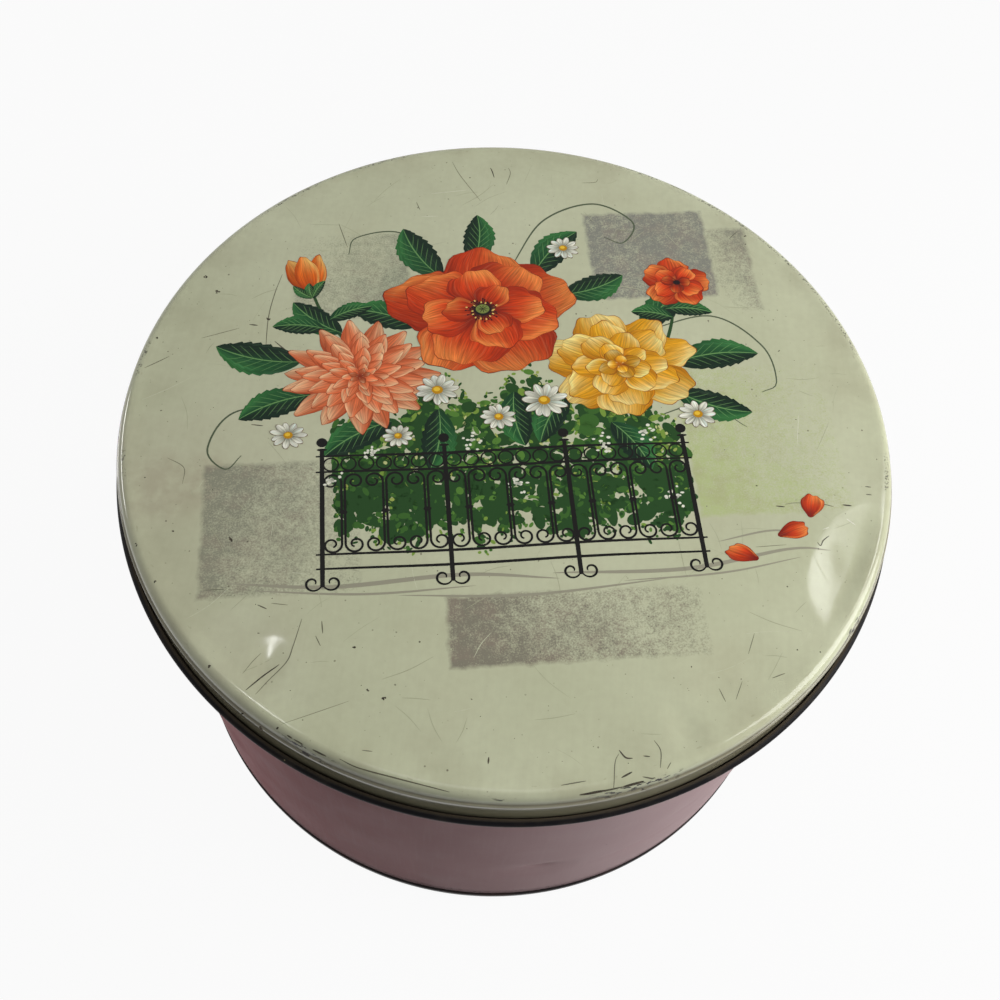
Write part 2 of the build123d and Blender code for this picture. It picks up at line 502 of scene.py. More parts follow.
def sponge(tree, place, middle_x, middle_y, half_x, half_y, cover, fall_x, fall_y):
    """Mask of one sponged rectangle."""
    middle = (middle_x * MM, middle_y * MM, lid_high.z)
    half = (half_x * MM, half_y * MM, 1.0)
    slope = (-fall_x / half[0], -fall_y / half[1], 0.0)
    offset = node(tree, "VectorMath", {"operation": "SUBTRACT"}, {0: place, 1: middle})
    folded = node(tree, "VectorMath", {"operation": "ABSOLUTE"}, {0: offset})
    past = node(tree, "VectorMath", {"operation": "SUBTRACT"}, {0: folded, 1: half})
    past = node(tree, "SeparateXYZ", inputs={0: past}, out=None)
    edge = join(tree, "MAXIMUM", past["X"], past["Y"])
    waver = {"Vector": place, "Scale": per(EDGE_WAVE), "Detail": 6.0, "Roughness": 0.6}
    waver = node(tree, "TexNoise", inputs=waver)
    edge = node(tree, "Math", {"operation": "MULTIPLY_ADD"}, {0: waver, 1: EDGE_WAVER * MM, 2: edge})
    left = node(tree, "VectorMath", {"operation": "DOT_PRODUCT"}, {0: offset, 1: slope}, out="Value")
    for size, detail, rough, strength in SPONGE_MARKS:
        clouds = {"Vector": place, "Scale": per(size), "Detail": detail, "Roughness": rough}
        clouds = node(tree, "TexNoise", inputs=clouds)
        left = node(tree, "Math", {"operation": "MULTIPLY_ADD"}, {0: clouds, 1: strength, 2: left})
    left = node(tree, "Math", {"operation": "ADD", "use_clamp": True}, {0: left, 1: cover + COVER_LEVEL})
    return join(tree, "MULTIPLY", left, ramp(tree, edge, EDGE_SOFT, EDGE_FULL))


# %% Cream enamel: the paint
CREAM, CREAM_PALE, CREAM_STAIN = "#C0C3A2", "#C9CCAC", "#B1AA8A"
GRIME, STAIN, WARM_TINT = "#8C8468", "#8F7564", "#9C8274"
WIPE_WIDE, WIPE_LONG = 1.3, 18.0
# Browned places: x, y and reach on the lid
STAINED = [(-109, -41, 16), (-96, -37, 13)]
SALLOW = [(-112, -48, 66), (-76, -86, 34)]

cream, tree, shader = new_material("cream_enamel")
place = node(tree, "TexCoord", out="Object")
colour = coat(tree, CREAM, CREAM_PALE, blotches(tree, place, 52, 0.35, 0.65))
colour = coat(tree, colour, CREAM_STAIN, blotches(tree, place, 34, 0.5, 0.72), 0.18)
colour = coat(tree, colour, GRIME, blotches(tree, place, 2.4, 0.3, 0.75), 0.1)
wiped = stretched(tree, place, (1, WIPE_WIDE / WIPE_LONG, 1))
colour = coat(tree, colour, GRIME, blotches(tree, wiped, WIPE_WIDE, 0.35, 0.75), 0.05)
stained = blotches(tree, place, 5, 0.35, 0.62)
colour = coat(tree, colour, STAIN, near(tree, place, STAINED), stained, 0.25)
sallow = blotches(tree, place, 24, 0.25, 0.6)
colour = coat(tree, colour, STAIN, near(tree, place, SALLOW), sallow, 0.13)
turned_back = {0: place, "Angle": math.radians(-PICTURE_TURN)}
picture = node(tree, "VectorRotate", {"rotation_type": "Z_AXIS"}, turned_back)
warm = join(tree, "MULTIPLY", blotches(tree, place, 6, 0.45, 0.62), 0.2)
for *patch, paint in PATCHES:
    colour = coat(tree, colour, coat(tree, paint, WARM_TINT, warm), sponge(tree, picture, *patch))
print("cream paint", len(tree.nodes), "nodes")

# %% Cream enamel: dirt towards the rim, and painted shade on the skirt
SKIRT_SHADE, CREASE_DARK, SPECK = "#827A64", "#4A4234", "#574E3F"
CREASE_RADIUS = 129.6
RIM_CLEAN, RIM_BROWN = 100, 127
SKIRT_SHADE_FROM, SKIRT_SHADE_FULL = lid_top - 3.5, lid_top - 4.3
SHOULDER_BAND = (124.5, 131)

radius, height, unrolled = round_the_tin(tree, place, squeeze=0.35)
browned = blotches(tree, place, 17, 0.42, 0.7, 6.0)
colour = coat(tree, colour, GRIME, ramp(tree, radius, RIM_CLEAN, RIM_BROWN), browned, 0.25)
# The skirt below the crease is painted a darker brown: painted shade, as it faces away from the light.
colour = coat(tree, colour, SKIRT_SHADE, ramp(tree, height, SKIRT_SHADE_FROM, SKIRT_SHADE_FULL), 0.75)
# A thin dark line is painted along the crease.
crease_dark_line = between(tree, radius, CREASE_RADIUS - 0.2, CREASE_RADIUS + 0.15, 0.25)
colour = coat(tree, colour, CREASE_DARK, crease_dark_line, blotches(tree, unrolled, 5, 0.2, 0.5), 0.45)
colour = coat(tree, colour, SPECK, specks(tree, place, 9, 0.42, 0.5), 0.75)
dusty = blotches(tree, place, 30, 0.4, 0.6)
colour = coat(tree, colour, SPECK, specks(tree, place, 3.4, 0.28, 0.5), dusty, 0.4)
shoulder = between(tree, radius, *SHOULDER_BAND, 1.5)
colour = coat(tree, colour, GRIME, shoulder, blotches(tree, unrolled, 1.3, 0.66, 0.7, 5.0), 0.25)

# %% [markdown]
# Baked enamel is brittle. It chips off along the crease and where the panel bends into the shoulder, in the
# places that were knocked most. A chip is a small hollow that shows dark steel without gloss.

# %% Cream enamel: chips and gloss
BARE_STEEL = "#25201D"
CHIPPED = [
    # x, y and reach of the places where the crease is chipped
    (47, -119, 16), (-48, -121, 11), (104, 88, 16), (124, 54, 12), (128, 0, 8),
    (112, -62, 9), (8, -127, 4), (-127, 24, 10), (-23, 128, 18), (-72, 113, 12),
]
BEND_WORN = [
    # the same for the bend at the panel's edge
    (-88, 92, 20), (-62, 112, 15), (40, 119, 10), (72, 104, 20), (98, 80, 22), (114, 56, 18),
    (126, -7, 9), (-127, 8, 9), (-124, -34, 7),
]
BEND_LINE = (126.4, 127.4)
SKIRT_FROM, CREASE_FROM = lid_top - 4.9, lid_top - 4.5

crease = between(tree, radius, CREASE_RADIUS - 0.7, CREASE_RADIUS + 0.3, 0.5)
above_skirt = ramp(tree, height, SKIRT_FROM, CREASE_FROM)
chips = blotches(tree, unrolled, 0.9, 0.54, 0.57, 5.0)
chips = join(tree, "MULTIPLY", crease, chips, near(tree, place, CHIPPED), above_skirt)
bare = blotches(tree, place, 0.8, 0.53, 0.58, 5.0)
bend_line = between(tree, radius, *BEND_LINE, 0.4)
bare = join(tree, "MULTIPLY", bend_line, near(tree, place, BEND_WORN), bare, 0.75)
chipped = join(tree, "MAXIMUM", chips, bare)
colour = coat(tree, colour, BARE_STEEL, chipped)
dulled = from_to(tree, blotches(tree, place, 26, 0.3, 0.7), 0.09, 0.15)
dulled = node(tree, "Math", {"operation": "MULTIPLY_ADD"}, {0: chipped, 1: 0.3, 2: dulled})
fill(tree, shader, {"Base Color": colour, "Roughness": dulled, "Specular IOR Level": 0.35})
bumps(tree, shader, orange_peel(tree, place), (chipped, -0.05))
print("cream enamel", len(tree.nodes), "nodes")

# %% [markdown]
# The band round the hem is black enamel, brown in rubbed blotches and over the inner half of its curl.
# It is the same paint in another colour. Old black enamel has lost much of its gloss, so it mirrors little.

# %% Black enamel
BLACK, BLACK_BROWNED = "#151416", "#4D453A"
CURL_BROWN_FROM, CURL_BROWN_TO = 131.9, 131.0

black, tree, shader = new_material("black_enamel")
place = node(tree, "TexCoord", out="Object")
radius = round_the_tin(tree, place)[0]
colour = coat(tree, BLACK, BLACK_BROWNED, blotches(tree, place, 9, 0.52, 0.74, 6.0), 0.3)
# Brown over the inner half of the curl, next to the skirt.
colour = coat(tree, colour, BLACK_BROWNED, ramp(tree, radius, CURL_BROWN_FROM, CURL_BROWN_TO))
colour = coat(tree, colour, GRIME, specks(tree, place, 7, 0.3, 0.25))
fill(tree, shader, {"Base Color": colour, "Roughness": 0.4, "Specular IOR Level": 0.05})
bumps(tree, shader, orange_peel(tree, place))
print("black enamel", len(tree.nodes), "nodes")

# %% [markdown]
# The wall is enamelled in a dusky pink. It has been wiped and handled for years: its gloss is all but gone,
# faint rub marks run up and down it, and near the foot it is darker, with grime and with painted shade
# above the seam, and has tiny chips that show the steel.
# Towards the right the pink is painted paler, a painted sheen of the light on that side,
# so one slow change of colour runs across the whole tin.

# %% Pink enamel
PINK, PINK_DEEP, PINK_SHEEN, PINK_PALE = "#A8676A", "#9A595D", "#B1989A", "#BCA3A4"
FOOT_GRIME_AND_SHADE = "#3C2529"
SHEEN_FROM, SHEEN_TO = -98.0, 42.0
FOOT_DARK_FROM, FOOT_DARK_TO = 11, 5
WORN_FROM, WORN_TO = 14, 3

pink, tree, shader = new_material("pink_enamel")
place = node(tree, "TexCoord", out="Object")
radius, height, unrolled = round_the_tin(tree, place)
rightness = node(tree, "SeparateXYZ", inputs={0: place}, out="X")
colour = coat(tree, PINK, PINK_DEEP, blotches(tree, place, 38, 0.38, 0.66))
# Painted sheen and light: the pink turns paler towards the right.
colour = coat(tree, colour, PINK_SHEEN, ramp(tree, rightness, SHEEN_FROM, SHEEN_TO))
colour = coat(tree, colour, PINK_PALE, blotches(tree, place, 13, 0.5, 0.75), 0.15)
rubbed = stretched(tree, unrolled, (1, 1, 0.06))
colour = coat(tree, colour, PINK_PALE, blotches(tree, rubbed, 1.6, 0.5, 0.75, 3.0), 0.15)
colour = coat(tree, colour, SPECK, specks(tree, place, 8, 0.35, 0.3), 0.7)
# Darker towards the foot: grime, and painted shade of the recess above the seam.
colour = coat(tree, colour, FOOT_GRIME_AND_SHADE, ramp(tree, height, FOOT_DARK_FROM, FOOT_DARK_TO), 0.8)
worn = blotches(tree, place, 1.4, 0.58, 0.63, 6.0)
colour = coat(tree, colour, BARE_STEEL, ramp(tree, height, WORN_FROM, WORN_TO), worn, 0.8)
dulled = from_to(tree, blotches(tree, place, 22, 0.3, 0.7), 0.42, 0.52)
fill(tree, shader, {"Base Color": colour, "Roughness": dulled, "Specular IOR Level": 0.01})
bumps(tree, shader, orange_peel(tree, place, 1.8), (blotches(tree, place, 30, 0.2, 0.8, 1.0), 0.05))
print("pink enamel", len(tree.nodes), "nodes")

# %% [markdown]
# Inside, the tin is bare tinplate: steel with a skin of tin, bright but not a mirror.
# The rolling mill leaves fine lines in it, the tin freezes in faint crystals, and old tin browns in places.
# A metal takes its colour from its reflections, so the base colour is bright and the rest is roughness.

# %% Bare tinplate
TIN, TIN_DULL, RUST = "#CCCAC2", "#A8A294", "#6B4A33"
CRYSTAL = 7


def tinplate(name, grain):
    """Bare tinplate whose rolling lines are long where the grain is small."""
    metal, tree, shader = new_material(name)
    place = node(tree, "TexCoord", out="Object")
    lines = blotches(tree, stretched(tree, place, grain), 0.7, 0.3, 0.7, 5.0)
    colour = coat(tree, TIN, TIN_DULL, blotches(tree, place, 30, 0.45, 0.75))
    colour = coat(tree, colour, TIN_DULL, lines, 0.2)
    rusted = blotches(tree, place, 1.2, 0.4, 0.6)
    colour = coat(tree, colour, RUST, specks(tree, place, 11, 0.9, 0.16), rusted)
    crystals = node(tree, "TexVoronoi", inputs={"Vector": place, "Scale": per(CRYSTAL)}, out="Color")
    rough = from_to(tree, node(tree, "SeparateColor", inputs={0: crystals}), 0.24, 0.32)
    rough = node(tree, "Math", {"operation": "MULTIPLY_ADD"}, {0: lines, 1: 0.08, 2: rough})
    fill(tree, shader, {"Base Color": colour, "Metallic": 1.0, "Roughness": rough})
    bumps(tree, shader, (lines, 0.004))
    print(name, len(tree.nodes), "nodes")
    return metal


tin_of_wall = tinplate("tinplate_rolled_round", grain=(0.05, 0.05, 1.0))
tin_of_discs = tinplate("tinplate_rolled_across", grain=(0.05, 1.0, 1.0))

# %% [markdown]
# The bottom and its seam are coated with a thin black-brown lacquer, which only has to keep rust away.
# Where the seam has slid over shelves, the lacquer is worn through to bright metal on the very lowest ring.

# %% Black lacquer
LACQUER, LACQUER_THIN, RUBBED_BRIGHT = "#1E191A", "#372A27", "#8C8780"
LOWEST_FROM, LOWEST_TO = 0.25, 0.08

lacquer, tree, shader = new_material("black_lacquer")
place = node(tree, "TexCoord", out="Object")
radius, height, unrolled = round_the_tin(tree, place, squeeze=0.1)
colour = coat(tree, LACQUER, LACQUER_THIN, blotches(tree, place, 16, 0.4, 0.7, 6.0))
worn = blotches(tree, unrolled, 1.5, 0.42, 0.5, 5.0)
bright = join(tree, "MULTIPLY", ramp(tree, height, LOWEST_FROM, LOWEST_TO), worn)
colour = coat(tree, colour, RUBBED_BRIGHT, bright)
colour = coat(tree, colour, RUST, specks(tree, place, 10, 0.5, 0.3))
rough = from_to(tree, blotches(tree, place, 5, 0.3, 0.7), 0.3, 0.45)
fill(tree, shader, {"Base Color": colour, "Metallic": bright, "Roughness": rough})
fill(tree, shader, {"Specular IOR Level": 0.12})
bumps(tree, shader, (blotches(tree, place, 1.2, 0.2, 0.8, 3.0), 0.005))
print("black lacquer", len(tree.nodes), "nodes")

# %% [markdown]
# The lid is one pressed sheet: a flat panel, a rounded shoulder, a fine crease with a ledge, a skirt and a
# curled hem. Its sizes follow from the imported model, so the dressed lid lies just where the solid one is.
# The panel is cut into rings 1.6 mm apart, which is fine enough for the knocks to bend it smoothly.

# %% Lid
RING_STRIDE = 1.6
TURNS = 384
SHOULDER_TURN, LEDGE_TURN, CURL_TURN = 80.0, 25.0, 290.0
SHOULDER_INSIDE, CREASE_INSIDE, CORNER_INSIDE, HEM_INSIDE = 3.0, 0.225, 0.275, 1.125
SHOULDER_DROP = 4.0
MOUTH_INSIDE = 1.325
SEAT_BITE = 0.35
BAND_BELOW_TOP = 15.6

mouth_middle = middle_of(MOUTH_INSIDE)
mouth_reach = MOUTH_INSIDE + SHEET
wall_middle = wall_high.x / MM - 2 * mouth_middle - SHEET / 2
hem_middle = middle_of(HEM_INSIDE)
skirt_middle = lid_high.x / MM - 2 * hem_middle - SHEET / 2

steep_turn, ledge_turn = math.radians(SHOULDER_TURN), math.radians(LEDGE_TURN)
shoulder_middle, crease_middle = middle_of(SHOULDER_INSIDE), middle_of(CREASE_INSIDE)
corner_middle = middle_of(CORNER_INSIDE)
crease_centre = wall_middle + mouth_middle + mouth_reach + CREASE_INSIDE + SHEET - SEAT_BITE
crease_start = crease_centre - crease_middle * math.sin(steep_turn)
crease_end = crease_centre - crease_middle * math.sin(ledge_turn)
steep = (SHOULDER_DROP - shoulder_middle * (1 - math.cos(steep_turn))) / math.sin(steep_turn)
panel_run = crease_start - shoulder_middle * math.sin(steep_turn) - steep * math.cos(steep_turn)
panel_middle = lid_top - SHEET / 2
crease_drop = SHOULDER_DROP - crease_middle * (math.cos(steep_turn) - math.cos(ledge_turn))
crease_end_high = panel_middle - crease_drop
land = (skirt_middle - corner_middle * (1 - math.sin(ledge_turn)) - crease_end) / math.cos(ledge_turn)
skirt_high = crease_end_high - land * math.sin(ledge_turn) - corner_middle * math.cos(ledge_turn)
skirt_low = lid_low.z / MM + SHEET / 2 + hem_middle
band_top = lid_top - BAND_BELOW_TOP

lid_moves = [
    run(panel_run),
    bend(SHOULDER_INSIDE, -SHOULDER_TURN),
    run(steep),
    bend(CREASE_INSIDE, SHOULDER_TURN - LEDGE_TURN),
    run(land),
    bend(CORNER_INSIDE, LEDGE_TURN - 90),
    run(skirt_high - band_top),
    run(band_top - skirt_low),
    bend(HEM_INSIDE, CURL_TURN),
]
lid_section, owners = fold((0, panel_middle), 0, lid_moves, RING_STRIDE)
BAND_MOVE, HEM_MOVE = 7, 8
blackened = (BAND_MOVE, HEM_MOVE, -1 - HEM_MOVE)
lid_finishes = [1 if owner in blackened else 0 if owner >= 0 else 2 for owner in owners]
all_round = np.linspace(0, 2 * math.pi, TURNS, endpoint=False)


def knocked(points):
    """The lid's points with the knocks pressed into its panel."""
    high = points[:, 2] > lid_top - SHOULDER_DROP
    moved = points.copy()
    moved[high, 2] += panel_height(points[high, 0], points[high, 1])
    return moved


finishes = [cream, black, tin_of_discs]
lid_shell = turn_round("lid_shell", lid_section, lid_finishes, all_round, finishes, knocked)
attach(lid_shell, "lid")
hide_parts("lid")

# %% [markdown]
# The wall is a strip of sheet rolled into a ring. Its ends hook into each other at the back in a flat lock
# seam, which shows outside as a fine upright groove and inside as a raised strip.
# Its mouth is curled outwards so nobody cuts a finger. Its foot is drawn in and hooked for the seam there.
# Columns of points stand closer together at the seam, so the groove and the strip have crisp sides.

# %% Wall
SEAM_GAP = 0.05
FOOT_HEIGHT, NECK_ABOVE_FOOT, NECK_SLOPE, NECK_INSIDE = 3.0, 0.3, 25.0, 0.9
FOOT_CORNER = 0.275
SEAM_HALF, SEAM_LAYERS, SEAM_LAP = 2.5, 3, 9.0
GROOVE_HALF, GROOVE_DEPTH = 0.4, 0.12
SEAM_EDGE = 0.08
SEAM_CLEAR = 0.025  # radians on each side of the seam without the columns of the rest
SAME_FACE = 0.01
DENTS = [
    # turn round the tin in degrees, height, half width, half height in mm, depth
    (-77.4, 50, 7, 3.4, 1.2),
    (-78, 46, 18, 12, 0.65),
    (-97.5, 46, 8, 40, 0.45),
    (-97, 16, 9, 14, 0.20),
    (-60, 40, 22, 3.5, 0.45),
    (-52, 62, 10, 4, 0.30),
    (-30, 90, 20, 16, 0.20),
    (35, 60, 24, 18, 0.22),
    (140, 100, 18, 12, 0.18),
    (200, 48, 26, 16, 0.22),
]

layer = SHEET + SEAM_GAP
hook_fold = layer - SHEET / 2
outer_layer = foot_high.x / MM - SHEET / 2
wall_hook = outer_layer - layer
neck_radius = outer_layer - 3 * layer
inner_layer = outer_layer - 4 * layer
wall_fold_low = SHEET + SEAM_GAP + SHEET + hook_fold
bottom_fold_high = FOOT_HEIGHT - SHEET - hook_fold
neck_middle = middle_of(NECK_INSIDE)
neck_turn = math.radians(NECK_SLOPE)
draw_in = wall_middle - neck_radius
neck_slant = (draw_in - 2 * neck_middle * (1 - math.cos(neck_turn))) / math.sin(neck_turn)
neck_low = FOOT_HEIGHT + NECK_ABOVE_FOOT
neck_high = neck_low + 2 * neck_middle * math.sin(neck_turn) + neck_slant * math.cos(neck_turn)
mouth_high = wall_high.z / MM
curl_high = mouth_high - mouth_reach
seam_low, seam_top = FOOT_HEIGHT + SEAM_LAP, mouth_high - SEAM_LAP

wall_moves = [
    run(bottom_fold_high - wall_fold_low),
    bend(hook_fold, -180),
    run(neck_low - wall_fold_low),
    bend(NECK_INSIDE, -NECK_SLOPE),
    run(neck_slant),
    bend(NECK_INSIDE, NECK_SLOPE),
    run(seam_low - neck_high),
    run(SEAM_EDGE),
    run(seam_top - seam_low - 2 * SEAM_EDGE),
    run(SEAM_EDGE),
    run(curl_high - seam_top),
    bend(MOUTH_INSIDE, -CURL_TURN),
]
wall_section, owners = fold((wall_hook, bottom_fold_high), -90, wall_moves, 2.0)
STRAIGHT_WALL = range(-11, -3)
wall_finishes = [0 if owner in STRAIGHT_WALL else 1 for owner in owners]
halves = (GROOVE_HALF, GROOVE_HALF + SEAM_EDGE, SEAM_HALF, SEAM_HALF + SEAM_EDGE)
seam_angles = [math.pi / 2 + side * half / wall_middle for side in (-1, 1) for half in halves]
rest_angles = all_round[np.abs(all_round - math.pi / 2) > SEAM_CLEAR]
wall_angles = np.array(sorted([*rest_angles, *seam_angles, math.pi / 2]))


def dented(points):
    """The wall's points with its dents and its side seam."""
    x, y, z = points.T
    radius, around = np.hypot(x, y), np.degrees(np.arctan2(y, x))
    shift = np.zeros(len(points))
    for turned, high, half_wide, half_high, depth in DENTS:
        arc = np.radians((around - turned + 180) % 360 - 180) * wall_middle
        away = (arc / half_wide) ** 2 + ((z - high) / half_high) ** 2
        shift -= depth * np.clip(1 - away, 0, 1) ** 1.5
    shift[(z < neck_high) | (z > curl_high)] = 0
    along = (math.pi / 2 - np.radians(around)) * wall_middle
    tall = (z > seam_low + SEAM_EDGE / 2) & (z < seam_top - SEAM_EDGE / 2) & (y > 0)
    outside = np.abs(radius - wall_middle - SHEET / 2) < SAME_FACE
    inside = np.abs(radius - wall_middle + SHEET / 2) < SAME_FACE
    shift[tall & outside & (np.abs(along) < GROOVE_HALF + SEAM_EDGE / 2)] -= GROOVE_DEPTH
    shift[tall & inside & (np.abs(along) < SEAM_HALF + SEAM_EDGE / 2)] -= SEAM_LAYERS * SHEET
    share = (1 + shift / radius)[:, None]
    return np.hstack((points[:, :2] * share, points[:, 2:]))


wall_shell = turn_round("wall_shell", wall_section, wall_finishes, wall_angles, [pink, tin_of_wall], dented)
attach(wall_shell, "tin")
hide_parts("body_wall")

# %% [markdown]
# The bottom is a stepped disc. Its edge runs down inside the wall, under it and up round the wall's hook,
# and is pressed flat: the double seam that food cans have too. Outside it shows as a thin black line.

# %% Bottom
BOTTOM_RECESS, BOTTOM_CORNER = 4.2, 0.6
STEP_RADIUS, STEP_HEIGHT, STEP_SLOPE, STEP_INSIDE = 104.0, 1.2, 40.0, 1.0

outer_ring = BOTTOM_RECESS + SHEET / 2
bottom_corner, foot_corner = middle_of(BOTTOM_CORNER), middle_of(FOOT_CORNER)
step_middle = middle_of(STEP_INSIDE)
step_turn = math.radians(STEP_SLOPE)
step_slant = (STEP_HEIGHT - 2 * step_middle * (1 - math.cos(step_turn))) / math.sin(step_turn)
step_out = 2 * step_middle * math.sin(step_turn) + step_slant * math.cos(step_turn)
bottom_moves = [
    run(STEP_RADIUS),
    bend(STEP_INSIDE, -STEP_SLOPE),
    run(step_slant),
    bend(STEP_INSIDE, STEP_SLOPE),
    run(inner_layer - bottom_corner - STEP_RADIUS - step_out),
    bend(BOTTOM_CORNER, -90),
    run(outer_ring - bottom_corner - foot_corner - SHEET / 2),
    bend(FOOT_CORNER, 90),
    run(outer_layer - inner_layer - 2 * foot_corner),
    bend(FOOT_CORNER, 90),
    run(bottom_fold_high - foot_corner - SHEET / 2),
    bend(hook_fold, 180),
    run(bottom_fold_high - wall_fold_low),
]
bottom_section, owners = fold((0, outer_ring + STEP_HEIGHT), 0, bottom_moves, 4.0)
bottom_finishes = [0 if owner < 0 else 1 for owner in owners]
finishes = [lacquer, tin_of_discs]
bottom_shell = turn_round("bottom_shell", bottom_section, bottom_finishes, all_round, finishes)
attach(bottom_shell, "tin")
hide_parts("bottom_end")

# %% [markdown]
# The picture on the lid is printed: films of ink, one over the other, on the cream enamel.
# It could be an image, but a mesh keeps its edges crisp however near the camera comes. Each mark is a small
# sheet of quads that follows the knocks in the panel and is closed underneath, so it is a real film.
# Each of its points carries a paint colour and a place along and across its own brush stroke.

# %% Ink film helpers
LIFT = 0.015
INK_LAYER = 0.001
SUNK = 0.01
STREAK_SHIFT = 0.37  # along the streaks from one mark to the next


def turned_by(degrees, along, across):
    """Steps in x and y of a place given along and across a heading."""
    c, s = math.cos(math.radians(degrees)), math.sin(math.radians(degrees))
    return np.stack((along * c - across * s, along * s + across * c), -1)


def film_height(x, y):
    """Height of the lid's top face in mm, over the panel and on down the rounded shoulder."""
    outside = SHOULDER_INSIDE + SHEET
    past = np.clip(np.hypot(x, y) - panel_run, 0, outside * math.sin(steep_turn))
    return lid_top + panel_height(x, y) - outside + np.sqrt(outside ** 2 - past ** 2)


def new_film(turned):
    """An empty film that marks are laid on, whose whole picture is turned on the lid by so many degrees."""
    return {"points": [], "faces": [], "paint": [], "stroke": [], "size": 0, "turned": turned}


def lay(film, grid, layer, paint, brushed=0.0, across=1.0):
    """Lays one mark on a numbered layer: a grid of (x, y) places in mm, in one colour or one for each."""
    rows, cols = grid.shape[:2]
    grid = turned_by(film["turned"], grid[..., 0], grid[..., 1])
    panel = film_height(grid[..., 0], grid[..., 1])
    steps = np.hypot(*np.moveaxis(np.diff(grid[:, cols // 2], axis=0), -1, 0))
    along = np.concatenate(([0], np.cumsum(steps)))[:, None]
    aside = np.linspace(0, across, cols)[None, :]
    stroke = np.dstack(np.broadcast_arrays(along, aside, np.full((1, 1), film["size"] * STREAK_SHIFT)))
    paint = np.dstack((np.broadcast_to(paint, (rows, cols, 3)), np.full((rows, cols), brushed)))
    index = film["size"] + np.arange(rows * cols).reshape(rows, cols)
    for height in (panel + LIFT + INK_LAYER * layer, panel - SUNK):
        film["points"].append(np.dstack((grid, height)).reshape(-1, 3))
        film["paint"].append(paint.reshape(-1, 4))
        film["stroke"].append(stroke.reshape(-1, 3))
    film["size"] += 2 * rows * cols
    quads = np.stack((index[:-1, :-1], index[1:, :-1], index[1:, 1:], index[:-1, 1:]), -1).reshape(-1, 4)
    loop = np.concatenate((index[0, :-1], index[:-1, -1], index[-1, :0:-1], index[:0:-1, 0]))
    ahead = np.roll(loop, -1)
    under = rows * cols
    rim = np.stack((loop, ahead, ahead + under, loop + under), -1)
    film["faces"] += [quads, quads[:, ::-1] + under, rim]


def develop(film, name, material):
    """Turns a film into a piece of the lid."""
    faces = np.concatenate(film["faces"]).tolist()
    made = piece(name, np.concatenate(film["points"]), faces, [0] * len(faces), [material])
    paint = made.data.color_attributes.new("paint", "FLOAT_COLOR", "POINT")
    paint.data.foreach_set("color", np.concatenate(film["paint"]).ravel())
    stroke = made.data.attributes.new("stroke", "FLOAT_VECTOR", "POINT")
    stroke.data.foreach_set("vector", np.concatenate(film["stroke"]).ravel())
    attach(made, "lid")


# %% [markdown]
# A disc, a ribbon and a leaf make nearly all the marks.
# The disc is a square grid whose edge is pushed out to a circle, so no points crowd in its middle.
# A ribbon follows a smooth line through a few given places, and is thinner towards its ends, as a
# brush stroke is. Where it is wide, a row of points down its middle keeps it on the rounded shoulder.

# %% Shapes of marks
WIDE_DAB, WIDE_RIBBON = 1.8, 0.4


def pigment(hex_colour):
    """Colour of a hex value as an array, so that it can be mixed."""
    return np.array(linear(hex_colour))


def smooth(value, low=0.0, high=1.0):
    """0 up to low, 1 from high on, and an S-shaped rise between."""
    share = np.clip((value - low) / (high - low), 0, 1)
    return share * share * (3 - 2 * share)


def mix(first, second, share):
    """Colour between two colours, for one share or for a grid of them."""
    share = np.asarray(share)[..., None]
    return np.asarray(first) * (1 - share) + np.asarray(second) * share


def disc(side):
    """Places p, q on a round grid of radius 1, with that many quads along each side."""
    steps = np.linspace(-1, 1, side + 1)
    p, q = np.meshgrid(steps, steps, indexing="ij")
    return p * np.sqrt(1 - q * q / 2), q * np.sqrt(1 - p * p / 2)


def dab(film, middle, long, wide, heading, layer, paint):
    """An oval dab of paint."""
    p, q = disc(4 if long > WIDE_DAB else 2)
    lay(film, np.array(middle) + turned_by(heading, long / 2 * p, wide / 2 * q), layer, paint)


def ribbon(film, line, width, layer, paint, ends=0.3):
    """A brush line of that width through close places, thinner towards its ends."""
    line = np.asarray(line, float)
    ahead = np.gradient(line, axis=0)
    ahead /= np.hypot(ahead[:, 0], ahead[:, 1])[:, None]
    side = np.stack((-ahead[:, 1], ahead[:, 0]), -1)
    full = np.sin(math.pi * np.linspace(0, 1, len(line))) ** 0.6
    half = width / 2 * (ends + (1 - ends) * full)[:, None]
    shares = (-1, 0, 1) if width > WIDE_RIBBON else (-1, 1)
    lay(film, np.stack([line + share * side * half for share in shares], 1), layer, paint, across=width)


def through(places, step=1.5):
    """Close places on a smooth line (a Catmull-Rom spline) through a few chosen ones."""
    places = np.array(places, float)
    padded = np.vstack((2 * places[0] - places[1], places, 2 * places[-1] - places[-2]))
    line = []
    for before, a, b, after in zip(padded, padded[1:], padded[2:], padded[3:]):
        count = max(2, math.ceil(np.hypot(*(b - a)) / step))
        for t in np.arange(count) / count:
            bent = 2 * before - 5 * a + 4 * b - after + t * (3 * (a - b) + after - before)
            line.append(a + 0.5 * t * (b - before + t * bent))
    return np.array([*line, places[-1]])


def spiral(middle, start_radius, end_radius, start, sweep, count=26):
    """Places on a spiral round a middle, from a start angle on by a sweep, in degrees."""
    reach = np.linspace(start_radius, end_radius, count)
    angle = np.radians(start + np.linspace(0, sweep, count))
    return np.array(middle) + np.stack((reach * np.cos(angle), reach * np.sin(angle)), -1)


# %% [markdown]
# Printing ink is a pigment under the same hard varnish as the enamel, so it shines the same way.
# Its colour comes from the points of the mesh, and the shader adds what a brush leaves: streaks and lighter
# touches along each stroke. They are noise stretched along it, so they turn with every petal and leaf.

# %% Printing ink
STREAK_LONG, STREAK_WIDE = 9.0, 0.7

